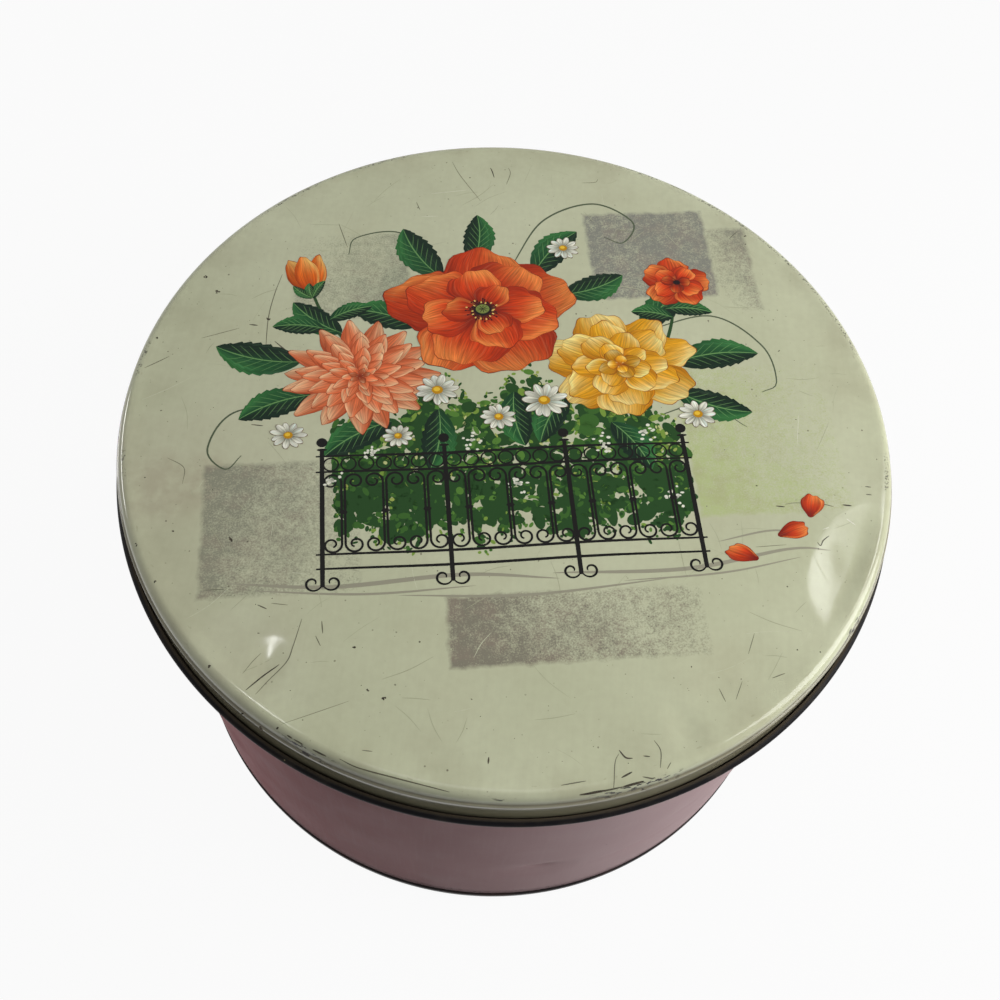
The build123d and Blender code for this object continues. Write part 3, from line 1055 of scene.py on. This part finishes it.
ink, tree, shader = new_material("printing_ink")
place = node(tree, "TexCoord", out="Object")
paint = node(tree, "Attribute", {"attribute_name": "paint"}, out=None)
stroke = node(tree, "Attribute", {"attribute_name": "stroke"}, out="Vector")
drawn_out = stretched(tree, stroke, (1 / STREAK_LONG, 1 / STREAK_WIDE, 1))
streaks = {"Vector": drawn_out, "Scale": 1.0, "Detail": 3.0, "Roughness": 0.6}
streaks = node(tree, "TexNoise", inputs=streaks)
shade = {"Value": streaks, "From Min": 0.3, "From Max": 0.7, "To Min": 0.6, "To Max": 1.3}
shade = node(tree, "MapRange", inputs=shade)
shade = node(tree, "Mix", {"data_type": "FLOAT"}, {0: paint["Alpha"], 2: 1.0, 3: shade})
colour = node(tree, "VectorMath", {"operation": "SCALE"}, {0: paint["Color"], "Scale": shade})
aside = node(tree, "VectorMath", {"operation": "ADD"}, {0: drawn_out, 1: (31.0, 17.0, 5.0)})
touches = node(tree, "TexNoise", inputs={"Vector": aside, "Scale": 0.8, "Detail": 2.0})
touches = node(tree, "MapRange", inputs={"Value": touches, "From Min": 0.56, "From Max": 0.7})
lighter = {0: colour, 1: (1.1, 1.5, 1.7), 2: (0.04, 0.05, 0.03)}
lighter = node(tree, "VectorMath", {"operation": "MULTIPLY_ADD"}, lighter)
colour = coat(tree, colour, lighter, touches, paint["Alpha"], 0.5)
colour = coat(tree, colour, CREAM_PALE, specks(tree, place, 12, 0.3, 0.3), 0.7)
fill(tree, shader, {"Base Color": colour, "Roughness": 0.22, "Specular IOR Level": 0.15})
bumps(tree, shader, orange_peel(tree, place))
print("printing ink", len(tree.nodes), "nodes")

# %% [markdown]
# Leaves: each is a curved blade with a saw-toothed edge. One half of it lies in shade,
# and thin pale lines are its veins. They are painted first, because flowers lie over them.

# %% Leaves
LEAF_DARK, LEAF_MID, LEAF_LIT, LEAF_VEIN = map(pigment, ("#10281A", "#1E4F2B", "#3B7A3E", "#6C9A5A"))
TEETH, TOOTH_DEPTH = 9, 0.16
STALK_HALF, SWEPT_BACK = 0.25, 0.16
RIB_WIDE, VEIN_WIDE, VEINS = 0.42, 0.26, 6


def leaf(film, root, heading, length, width, layer, bow=0.15, turned_over=False):
    """A toothed leaf from its root along a heading, bowed sideways by a share of its length."""
    share = np.linspace(0, 1, TEETH * 4 + 1)[:, None]
    q = np.linspace(-1, 1, 9)[None, :]
    tooth = 1 - TOOTH_DEPTH * ((share * TEETH) % 1) * smooth(share, 0.1, 0.3)
    half = width / 2 * np.sin(math.pi * share ** 0.85) ** 0.8 * tooth + STALK_HALF * (1 - share)
    across = q * half + bow * length * (4 * share * (1 - share)) * 0.5
    along = length * share + SWEPT_BACK * width * np.abs(q) * np.sin(math.pi * share)
    grid = np.array(root) + turned_by(heading, along, across)
    side = -q if turned_over else q
    paint = mix(LEAF_DARK, LEAF_MID, smooth(side + 0 * share, -0.35, 0.1))
    paint = mix(paint, LEAF_LIT, 0.75 * smooth(side, 0.1, 0.8) * smooth(share, 0.15, 0.7))
    paint = mix(paint, LEAF_DARK, 0.5 * smooth(share, 0.35, 0.0) + 0 * q)
    lay(film, grid, layer, paint, brushed=0.8, across=width)
    rib = grid[:, 4]
    ribbon(film, rib[::2], RIB_WIDE, layer + 1, LEAF_VEIN, ends=0.15)
    for k in range(VEINS):
        row = 4 * k + 6
        for column in (1, 7):
            vein = through([rib[row - 3], (rib[row] + grid[row, column]) / 2, grid[row + 3, column]])
            faint = mix(LEAF_VEIN, paint[row, column], 0.45)
            ribbon(film, vein, VEIN_WIDE, layer + 1, faint, ends=0.2)


# %% [markdown]
# Flowers: each bloom is a few rings of petals, and the outer ring is laid first.
# A petal is a disc drawn out from its root. It is widest past its middle and its rim waves a little.
# Colours run from deep to light along it, one side lies in shade, and a thin brown line rims it.

# %% Petals and blooms
OUTLINE = pigment("#6A2C18")
OUTLINE_HALF, OUTLINE_GAP = 0.16, 0.3
LARGE_PETAL = 9
SPREAD = 5
UNEVEN_TURN, UNEVEN_LENGTH, UNEVEN_TONE = 0.18, 0.07, 0.1
LIGHTEST = 0.95
chance = np.random.default_rng(11)


def petal(film, root, heading, length, width, layer, paints, shape, squash):
    """One petal from its root outwards, with its outline on the next layer.

    Its shape says how far its tip narrows, how much its rim waves and how wide its foot is. The squash,
    a height and a share, flattens the bloom towards that height, since it is seen from the side.
    """
    deep, mid, light = paints
    tip, wave, foot = shape
    phase = chance.uniform(0, 6.28)

    def where(p, q):
        share = (1 + p) / 2
        angle, rim = np.arctan2(q, p), np.hypot(p, q) ** 4
        swell = 1 + wave * rim * (np.sin(3 * angle + phase) + 0.6 * np.sin(8 * angle + 2 * phase))
        narrow = (foot + (1 - foot) * smooth(share, 0.0, 0.62)) * (1 - tip * share ** 3)
        spot = np.array(root) + turned_by(heading, length * share * swell, width / 2 * q * narrow * swell)
        spot[..., 1] = squash[0] + (spot[..., 1] - squash[0]) * squash[1]
        return spot

    p, q = disc(12 if length > LARGE_PETAL else 6)
    share, rim = (1 + p) / 2, np.hypot(p, q)
    lit = smooth(0.5 - 0.8 * q + 0.2 * np.sin(4 * share + phase))
    paint = mix(deep, mid, smooth(share, 0.08, 0.6))
    paint = mix(paint, light, 0.85 * smooth(share, 0.45, 0.95) * lit)
    fold_line = 0.35 * smooth(0.22 - np.abs(q), 0, 0.22) * (1 - share)
    paint = mix(paint, deep, 0.6 * smooth(q, 0.3, 1.0) + fold_line)
    edging = smooth(rim, 0.74, 0.9) * smooth(0.98 - rim, 0, 0.08) * smooth(0.3 * p - q, 0, 0.5)
    paint = mix(paint, light, 0.8 * edging)
    lay(film, where(p, q), layer, paint, brushed=1.0, across=width)
    count = 40 if length > LARGE_PETAL else 18
    angle = np.linspace(OUTLINE_GAP - math.pi, math.pi - OUTLINE_GAP, count)
    half = OUTLINE_HALF / math.sqrt(length * width) * (1 + 0.5 * np.sin(5 * angle + phase))
    edge = [where((1 + side * half) * np.cos(angle), (1 + side * half) * np.sin(angle)) for side in (-1, 1)]
    lay(film, np.stack(edge, 1), layer + 1, mix(OUTLINE, deep, 0.5))


def bloom(film, middle, layer, paints, rings, squash=0.86):
    """Rings of petals round a middle, the outer ring first. Gives the next free layer."""
    paints = list(map(pigment, paints))
    for count, reach, width, root, twist, shape, tone in rings:
        for k in range(count):
            heading = twist + 360 * (k + UNEVEN_TURN * chance.uniform(-1, 1)) / count
            start = np.array(middle) + turned_by(heading, root, 0.0)
            long = (reach - root) * (1 + UNEVEN_LENGTH * chance.uniform(-1, 1))
            shades = [1 + tone + UNEVEN_TONE * chance.uniform(-1, 1) for _ in paints]
            toned = [np.clip(paint * shade, 0, LIGHTEST) for paint, shade in zip(paints, shades)]
            own_layer = layer + 2 * (k % 3 if k < count - count % 3 else 3 + k % 3)
            petal(film, start, heading, long, width, own_layer, toned, shape, (middle[1], squash))
        layer += 2 * SPREAD
    return layer


# %% [markdown]
# The picture itself is a garden railing with a bed of moss, leaves and mixed flowers behind it.
# First come the quiet things: shadows brushed on the ground, thin tendrils, and the moss,
# which is nearly three thousand small dabs in six greens, the large and dark ones first.

# %% Ground and tendrils
leaves = new_film(PICTURE_TURN)
GROUND, TENDRIL, STEM = map(pigment, ("#9B9884", "#56604A", "#2C4A27"))
for places, width in (
    ([(-92, -57), (-60, -60), (-20, -58), (10, -61)], 1.5),
    ([(-84, -60), (-50, -63), (-16, -62)], 0.8),
    ([(-40, -64), (0, -66), (44, -63)], 0.9),
    ([(8, -59), (50, -60), (84, -55), (98, -56)], 1.4),
    ([(30, -63), (62, -62), (88, -58)], 0.7),
    ([(62, -51), (80, -48), (92, -50)], 0.7),
):
    ribbon(leaves, through(places), width, 0, GROUND, ends=0.05)
for places, width in (
    ([(6, 66), (20, 88), (40, 96), (54, 86), (49, 76), (42, 79)], 0.75),
    ([(-20, 70), (-34, 84), (-50, 82), (-53, 74)], 0.6),
    ([(50, 34), (76, 40), (92, 26), (94, 10), (88, 6)], 0.65),
    ([(-70, 8), (-92, 6), (-100, -8), (-94, -16), (-89, -11)], 0.65),
    ([(40, -6), (66, 2), (80, -8)], 0.5),
):
    ribbon(leaves, through(places), width, 1, TENDRIL, ends=0.35)
for places in ([(30, -2), (50, 14), (60, 34), (64, 50)], [(-30, 4), (-50, 28), (-62, 46), (-66, 56)]):
    ribbon(leaves, through(places), 1.3, 2, STEM, ends=0.7)

# %% Moss
MOSS = list(map(pigment, ("#24481F", "#3A6428", "#558034", "#7A983F", "#9DAA54", "#C0C484")))
MOSS_LEFT, MOSS_RIGHT, MOSS_FOOT, MOSS_TOP = -59, 56, -45.0, 14.0
LEAST_DAB = 0.45
MOSS_LAYER, MOSS_LAYERS = 3, 12
MOSS_DABS = [
    # how many, the longest and widest in mm, how far inside the bed they stay, and how bright they get
    (460, 9.0, 6.0, 3.5, 1.3),
    (1000, 4.2, 2.6, 1.5, 3.4),
    (1300, 2.2, 1.4, -2.0, 5.8),
]
for count, longest, widest, spare, brightest in MOSS_DABS:
    for k in range(count):
        x = chance.uniform(MOSS_LEFT, MOSS_RIGHT)
        top = MOSS_TOP + 6 * math.sin(0.2 * x) - 0.004 * x * x - spare
        foot = MOSS_FOOT + 3 * math.sin(0.23 * x + 1) + 2 * math.sin(0.61 * x) + spare
        y = chance.uniform(foot, top)
        nearer_top = smooth(y, foot, top)
        tone = int(brightest * chance.uniform(0, 1) ** 1.4 * (0.6 + 0.6 * nearer_top))
        long, wide = chance.uniform(LEAST_DAB, 1) * longest, chance.uniform(LEAST_DAB, 1) * widest
        layer = MOSS_LAYER + k % MOSS_LAYERS
        dab(leaves, (x, y), long, wide, chance.uniform(0, 180), layer, MOSS[min(5, tone)])
print("ground, tendrils and moss", leaves["size"], "points")

# %% [markdown]
# The leaves stand round the flowers in fans.

# %% Leaf fans
LEAF_LAYER = 16
BACK_LEAVES = [
    # root x, root y, heading in degrees, length, width in mm
    (-20, 62, 118, 27, 14), (-8, 68, 82, 24, 12), (14, 62, 48, 27, 13), (24, 52, 20, 24, 12),
    (-70, 26, 165, 30, 14), (-66, 12, 200, 26, 12), (-56, 38, 140, 22, 11), (-30, 40, 160, 24, 12),
    (60, 20, 5, 30, 13), (58, 8, -22, 27, 12), (50, 36, 38, 24, 12), (20, 8, -120, 22, 11),
    (-24, 4, -100, 24, 12), (-40, 0, -150, 26, 12), (34, -4, -60, 22, 11), (2, 10, -85, 22, 12),
    (60, 44, -8, 17, 7), (62, 40, 168, 15, 7), (-60, 44, 20, 16, 7), (-62, 40, 175, 18, 8),
]
for k, (x, y, heading, length, width) in enumerate(BACK_LEAVES):
    layer = LEAF_LAYER + 2 * (k % 5)
    leaf(leaves, (x, y), heading, length, width, layer, bow=0.14 * (-1) ** k, turned_over=k % 2 == 1)
develop(leaves, "lid_print_leaves", ink)

# %% [markdown]
# The railing is drawn the way a smith makes one: flat bars for the rails, posts with ball tops,
# a row of rings, and bars whose ends are rolled into scrolls and set back to back.

# %% Railing
IRON = pigment("#12110F")
RAILS = (-13, -19, -49, -54)
POSTS = (-63, -23, 17, 57)
POST_WIDE, RAIL_WIDE, BAR_WIDE, RING_WIDE = 1.5, 0.95, 0.75, 0.55
POST_FOOT, POST_TOP, KNOB_HIGH, COLLAR_HIGH = -60, -8, -7.4, -10.2
VOLUTE_HIGH, VOLUTE_RADIUS, VOLUTE_HEART, VOLUTE_SWEEP = -58.5, 3.0, 0.8, 380
RING_HIGH, RING_RADIUS = -16, 2.4
BAR_FOOT, BAR_TOP, BAR_ASIDE, TIE_HIGH = -48.6, -19.6, 0.55, -34
SCROLL_RADIUS, SCROLL_HEART, SCROLL_SWEEP = 3.1, 0.9, 430
IRON_LAYER = 28


def scroll_bar(film, x, low, high, side):
    """An upright bar whose two ends are rolled up towards one side."""
    start = 180 if side > 0 else 0
    centre = x + side * SCROLL_RADIUS
    inwards = (SCROLL_RADIUS, SCROLL_HEART, start)
    top = spiral((centre, high - SCROLL_RADIUS), *inwards, -side * SCROLL_SWEEP)
    foot = spiral((centre, low + SCROLL_RADIUS), *inwards, side * SCROLL_SWEEP)
    ribbon(film, np.vstack((foot[::-1], top)), BAR_WIDE, IRON_LAYER + 1, IRON, ends=0.7)


railing = new_film(PICTURE_TURN)
for high in RAILS:
    wavy = [(x, high + 0.25 * math.sin(0.07 * x)) for x in range(-65, 60, 2)]
    ribbon(railing, wavy, RAIL_WIDE, IRON_LAYER, IRON, ends=0.6)
for x in POSTS:
    post = [(x, y) for y in range(POST_FOOT, POST_TOP, 2)]
    ribbon(railing, post, POST_WIDE, IRON_LAYER + 2, IRON, ends=0.9)
    dab(railing, (x, KNOB_HIGH), 3.6, 3.6, 0, IRON_LAYER + 3, IRON)
    dab(railing, (x, COLLAR_HIGH), 3.4, 1.0, 0, IRON_LAYER + 3, IRON)
    for side in (-1, 1):
        middle, sweep = (x + side * VOLUTE_RADIUS, VOLUTE_HIGH), side * VOLUTE_SWEEP
        volute = spiral(middle, VOLUTE_RADIUS, VOLUTE_HEART, 90 + 90 * side, sweep)
        ribbon(railing, volute, BAR_WIDE, IRON_LAYER + 1, IRON)
for left, right in zip(POSTS, POSTS[1:]):
    for k in range(7):
        middle = left + (right - left) * (k + 0.5) / 7
        ring = spiral((middle, RING_HIGH), RING_RADIUS, RING_RADIUS, 90, 360)
        ribbon(railing, ring, RING_WIDE, IRON_LAYER + 1, IRON, ends=1.0)
    for k in range(3):
        middle = left + (right - left) * (k + 0.5) / 3
        for side in (-1, 1):
            scroll_bar(railing, middle + side * BAR_ASIDE, BAR_FOOT, BAR_TOP, side)
        dab(railing, (middle, TIE_HIGH), 2.6, 1.5, 0, IRON_LAYER + 3, IRON)
develop(railing, "lid_print_railing", ink)

# %% [markdown]
# Three large blooms carry the picture: a vermilion poppy, a coral dahlia and a yellow peony.
# Small ones round them repeat their colours: a poppy on a stem, a bud, white daisies and fallen petals.

# %% Large blooms
BLOOM_LAYER = 34
BROAD, ROUND, POINTED = (0.12, 0.05, 0.5), (0.1, 0.03, 0.6), (0.55, 0.012, 0.45)
YELLOW = ("#A8580C", "#E2A01E", "#F6DC8C")
CORAL = ("#A63A1E", "#DB7044", "#F3C193")
RED = ("#7C1A0E", "#CC3E16", "#F08A44")
POPPY = (-6, 46)

blooms = new_film(PICTURE_TURN)
# Each ring: petals, reach, width and distance of their roots in mm, turn, shape, tone
layer = bloom(blooms, (40, 20), BLOOM_LAYER, YELLOW, [
    (7, 27, 20, 4, 10, BROAD, -0.05),
    (6, 22, 17, 3, 38, BROAD, 0.05),
    (6, 16.5, 13, 2, 12, ROUND, 0.0),
    (5, 11.5, 9.5, 1, 40, ROUND, 0.1),
    (4, 7.5, 7, 0, 15, ROUND, -0.25),
    (3, 4.5, 4.5, 0, 60, ROUND, 0.15),
])
layer = bloom(blooms, (-50, 19), BLOOM_LAYER, CORAL, [
    (15, 27, 9.5, 5, 3, POINTED, -0.1),
    (14, 23, 9, 4, 16, POINTED, 0.0),
    (13, 19, 8, 3, 7, POINTED, 0.05),
    (11, 14.5, 7, 2, 20, POINTED, 0.1),
    (9, 10.5, 5.5, 1, 5, POINTED, 0.0),
    (7, 6.8, 4.2, 0, 25, POINTED, 0.25),
    (5, 3.8, 2.8, 0, 10, POINTED, -0.3),
])
layer = bloom(blooms, POPPY, layer, RED, [
    (5, 33, 34, 3, 20, BROAD, -0.12),
    (4, 28, 29, 2, 62, BROAD, 0.0),
    (4, 21, 21, 1, 25, BROAD, 0.1),
    (3, 14, 14, 0, 75, BROAD, 0.0),
])
print("large blooms use layers up to", layer)

# %% Heart of the poppy
SOOT, POD, POLLEN = map(pigment, ("#1D0F12", "#7D8A45", "#E7C46A"))
SQUASH = 0.86
STAMENS, POD_RIBS = 46, 9
pod = (POPPY[0], POPPY[1] + 0.4)
for k in range(STAMENS):
    reach, around = chance.uniform(3.4, 6.4), 360 * k / STAMENS
    root, tip = (np.array(POPPY) + turned_by(around, long, 0.0) * (1, SQUASH) for long in (2.0, reach))
    ribbon(blooms, np.linspace(root, tip, 4), 0.35, layer, SOOT)
    dab(blooms, tip, 0.9, 0.6, around, layer + 1, SOOT if k % 3 else POLLEN)
dab(blooms, POPPY, 6.0, 5.2, 0, layer + 2, SOOT)
dab(blooms, pod, 4.9, 4.1, 0, layer + 3, POD)
for k in range(POD_RIBS):
    rim = np.array(pod) + turned_by(360 * k / POD_RIBS, 2.1, 0.0) * (1, 0.84)
    ribbon(blooms, np.linspace(pod, rim, 3), 0.3, layer + 4, SOOT)

# %% Small blooms
BUD, BUD_LEAF_LAYER = (-66, 55), 52
WHITE = ("#8F917C", "#DFDECC", "#F4F3E6")
DAISY_LAYER = 150
DAISY_SHAPE = (0.1, 0.01, 0.5)
DAISY_RIM, DAISY_HEART, SPRINKLE = map(pigment, ("#C08A1A", "#EFC33C", "#E6E6D4"))
DAISIES = [
    # x, y and reach in mm
    (-24, 12, 7.5), (12, 6, 8.0), (-4, 0, 6.0), (64, -2, 6.5),
    (-74, -4, 6.0), (26, 74, 6.0), (-38, -6, 5.0),
]
SPRINKLES = ((-46, -12), (46, -8), (-14, -10), (30, -12), (-60, -22), (0, -26), (52, -34))

layer = bloom(blooms, (66, 56), BLOOM_LAYER, RED, [
    (5, 13, 13, 1, 15, BROAD, -0.05),
    (4, 9.5, 9.5, 0, 50, BROAD, 0.1),
    (3, 5.5, 5.5, 0, 20, ROUND, -0.3),
])
dab(blooms, (66, 56), 2.6, 2.2, 0, layer, SOOT)
for heading, width, tone in ((118, 9, -0.15), (84, 9, 0.0), (101, 10, 0.12)):
    toned = [pigment(paint) * (1 + tone) for paint in ("#A8380F", "#E26A1E", "#F5BE68")]
    layer = BLOOM_LAYER + round(40 * (tone + 0.2))
    petal(blooms, BUD, heading, 19, width, layer, toned, (0.5, 0.02, 0.6), (BUD[1], 1.0))
for heading, length in ((60, 9), (140, 9), (100, 7)):
    leaf(blooms, (BUD[0], BUD[1] - 1), heading, length, 3.6, BUD_LEAF_LAYER)
for x, y, reach in DAISIES:
    petals = [(11, reach, reach * 0.42, 1.0, 4 * x, DAISY_SHAPE, 0.0)]
    layer = bloom(blooms, (x, y), DAISY_LAYER, WHITE, petals)
    dab(blooms, (x, y), reach * 0.52, reach * 0.46, 0, layer, DAISY_RIM)
    dab(blooms, (x - 0.2, y + 0.3), reach * 0.3, reach * 0.24, 0, layer + 1, DAISY_HEART)
for x, y, heading in ((82, -50, 20), (74, -58, 150), (94, -44, 75)):
    petal(blooms, (x, y), heading, 11, 8, BLOOM_LAYER, list(map(pigment, RED)), BROAD, (y, 0.8))
for x, y in SPRINKLES:
    for _ in range(14):
        spot = np.array((x, y)) + turned_by(chance.uniform(0, 360), chance.uniform(0, 4.2), 0.0)
        dab(blooms, spot, chance.uniform(0.8, 1.5), chance.uniform(0.7, 1.2), 0, IRON_LAYER + 2, SPRINKLE)
develop(blooms, "lid_print_blooms", ink)

# %% [markdown]
# Scratches: hard edges have cut lines through the enamel, and dirt has darkened them. Most are only a third
# of a millimetre wide, so a thin ribbon of dirt colour tells them well. They are a film like the ink's.
# The plain ones follow listed places, mostly near the edge, where a lid is gripped and bumped.
# The many hairlines that dusting leaves are drawn at random from a fixed seed.

# %% Scratches
DIRT, PALE_CUT, CLEAN = map(pigment, ("#38322A", "#DCDCCB", CREAM))
DARK_CUTS = [
    # width in mm, then the places on the lid that the cut runs through, here at the lower left
    (0.30, [(-56, -81), (-57, -90), (-58, -95), (-62, -101), (-65, -106)]),
    (0.45, [(-60, -96), (-64, -100), (-68, -105)]),
    (0.22, [(-66, -93), (-68, -96), (-70, -100)]),
    (0.35, [(-50, -81), (-49, -85)]),
    (0.30, [(-51, -86), (-49, -89)]),
    (0.20, [(-38, -105), (-48, -110), (-56, -114)]),
    (0.40, [(-55, -119), (-53, -119)]),
    (0.34, [(-52, -118), (-49, -119)]),
    (0.40, [(-46, -120), (-42, -122)]),
    (0.30, [(-32, -119), (-29, -119)]),
    (0.30, [(-87, -75), (-81, -74)]),
    (0.40, [(-70, -78), (-67, -79)]),
    (0.25, [(-66, -77), (-61, -77)]),
    (0.35, [(-38, -122), (-32, -124), (-20, -126), (-6, -128)]),
    # near edge, right of the middle
    (0.50, [(4, -117), (4, -119)]),
    (0.50, [(41, -111), (43, -113), (45, -113)]),
    (0.30, [(41, -112), (40, -115), (40, -123)]),
    (0.55, [(42, -119), (45, -117)]),
    (0.40, [(48, -112), (50, -112)]),
    (0.35, [(48, -118), (52, -118)]),
    (0.55, [(43, -122), (49, -120)]),
    (0.50, [(31, -127), (34, -125), (38, -124)]),
    (0.40, [(33, -124), (37, -123), (43, -122)]),
    (0.35, [(25, -123), (32, -121)]),
    (0.32, [(51, -107), (53, -110), (53, -115)]),
    (0.30, [(56, -113), (55, -115)]),
    # right
    (0.45, [(89, -24), (92, -24)]),
    (0.25, [(92, -23), (96, -22), (102, -22)]),
    (0.35, [(98, -20), (102, -21), (108, -22)]),
    (0.55, [(111, -21), (114, -21)]),
    (0.40, [(119, -13), (121, -13)]),
    (0.40, [(119, -16), (121, -16)]),
    (0.22, [(82, -40), (92, -38)]),
    (0.40, [(102, -36), (103, -37), (104, -35), (106, -33)]),
    (0.25, [(81, -70), (79, -77)]),
    (0.25, [(77, -86), (75, -92)]),
    (0.30, [(70, -89), (72, -93)]),
    (0.30, [(86, -84), (90, -82)]),
    # far edge
    (0.45, [(-18, 115), (-17, 113), (-16, 110)]),
    (0.28, [(-11, 116), (-10, 113), (-11, 107)]),
    (0.28, [(-44, 93), (-42, 89)]),
    (0.25, [(-33, 116), (-29, 109), (-20, 97)]),
    (0.25, [(18, 112), (23, 113), (24, 115)]),
    (0.22, [(31, 83), (33, 89), (39, 89)]),
    (0.35, [(75, 91), (78, 95)]),
    (0.30, [(52, 116), (59, 113)]),
    # left
    (0.32, [(-87, 51), (-88, 41), (-88, 30), (-86, 15)]),
    (0.45, [(-84, 21), (-80, 18), (-77, 16)]),
    (0.40, [(-73, 31), (-71, 26)]),
    (0.40, [(-85, -14), (-81, -14)]),
    (0.30, [(-125, 4), (-118, 10)]),
    (0.25, [(-109, 19), (-97, 25)]),
    (0.45, [(-94, 27), (-91, 27)]),
    (0.30, [(-71, 78), (-66, 67)]),
    (0.25, [(-109, -30), (-103, -33), (-102, -39)]),
]
PALE_CUTS = [
    (0.35, [(104, -31), (106, -30)]),
    (0.45, [(112, -26), (115, -28)]),
    (0.25, [(-41, 86), (-35, 87)]),
    (0.22, [(-39, 98), (-25, 102)]),
    (0.22, [(98, 13), (97, 1)]),
]
PITS = [
    # place on the lid and size in mm
    (-39, -88, 1.1), (-33, -101, 0.7), (-28, -103, 1.2), (-62, -115, 1.2), (-57, -115, 0.8),
    (-68, -111, 0.7), (-80, -99, 1.0), (-68, -87, 0.5), (-67, 28, 1.0), (-88, 30, 1.1),
    (-89, -10, 1.0), (-101, -56, 0.8), (-83, -57, 1.2), (-108, 40, 1.4), (-114, 46, 1.2),
    (-111, -62, 0.9), (-102, -74, 0.8), (-124, 17, 0.9), (94, -74, 0.6), (101, -74, 0.6),
    (97, 11, 0.6), (92, 40, 0.6), (83, -17, 0.6), (81, 93, 0.9), (81, 89, 0.7),
]
CUT_REACH = 128.5
HAIRLINES, HAIRLINE_REACH, HAIRLINE_BOW = 170, 119, 0.12
HAIRLINE_HALF, HAIRLINE_WIDE, HAIRLINE_DARK = (1.5, 9), (0.12, 0.24), (0.1, 0.36)
DARK_ONES = 0.7
FLECKS, FLECK_REACH, FLECK_SIZE, FLECK_MORE, FLECK_DARK = 620, 124, (0.18, 0.34), 0.4, (0.3, 0.9)
FAINTEST, FULL_WIDTH = 0.35, 0.7


def on_shoulder(places):
    """Places pulled inwards where they need it, so that a cut ends on the shoulder and not in the air."""
    return places * np.minimum(1, CUT_REACH / np.hypot(*places.T))[:, None]


wear = np.random.default_rng(5)
scratches = new_film(0.0)
for paint, cuts in ((DIRT, DARK_CUTS), (PALE_CUT, PALE_CUTS)):
    for width, places in cuts:
        filled = mix(CLEAN, paint, min(1, FAINTEST + width / FULL_WIDTH))
        ribbon(scratches, on_shoulder(through(places, 0.5)), width, 2, filled, ends=0.3)
for x, y, size in PITS:
    for _ in range(3):
        spot = np.array((x, y)) + wear.normal(0, 0.22 * size, 2)
        long, wide = size * wear.uniform(0.5, 1), size * wear.uniform(0.35, 0.7)
        dab(scratches, spot, long, wide, wear.uniform(0, 180), 3, DIRT)
for _ in range(HAIRLINES):
    middle = turned_by(wear.uniform(0, 360), HAIRLINE_REACH * math.sqrt(wear.uniform(0, 1)), 0.0)
    half = turned_by(wear.uniform(0, 180), wear.uniform(*HAIRLINE_HALF), 0.0)
    bow = wear.uniform(-HAIRLINE_BOW, HAIRLINE_BOW) * np.array((-half[1], half[0]))
    paint = DIRT if wear.uniform(0, 1) < DARK_ONES else PALE_CUT
    faint = mix(CLEAN, paint, wear.uniform(*HAIRLINE_DARK))
    line = through([middle - half, middle + bow, middle + half])
    ribbon(scratches, line, wear.uniform(*HAIRLINE_WIDE), 0, faint)
for _ in range(FLECKS):
    spot = turned_by(wear.uniform(0, 360), FLECK_REACH * wear.uniform(0, 1) ** 0.35, 0.0)
    size = wear.uniform(*FLECK_SIZE) + FLECK_MORE * wear.uniform(0, 1) ** 4
    wide, heading = size * wear.uniform(0.5, 1), wear.uniform(0, 180)
    dab(scratches, spot, size, wide, heading, 1, mix(CLEAN, DIRT, wear.uniform(*FLECK_DARK)))

scratched, tree, shader = new_material("scratched_enamel")
place = node(tree, "TexCoord", out="Object")
paint = node(tree, "Attribute", {"attribute_name": "paint"}, out="Color")
colour = coat(tree, paint, GRIME, blotches(tree, place, 1.1, 0.4, 0.7), 0.25)
fill(tree, shader, {"Base Color": colour, "Roughness": 0.5, "Specular IOR Level": 0.2})
bumps(tree, shader, (blotches(tree, place, 0.5, 0.3, 0.7, 2.0), 0.01))
develop(scratches, "lid_scratches", scratched)

# %% Finish
low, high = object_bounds()
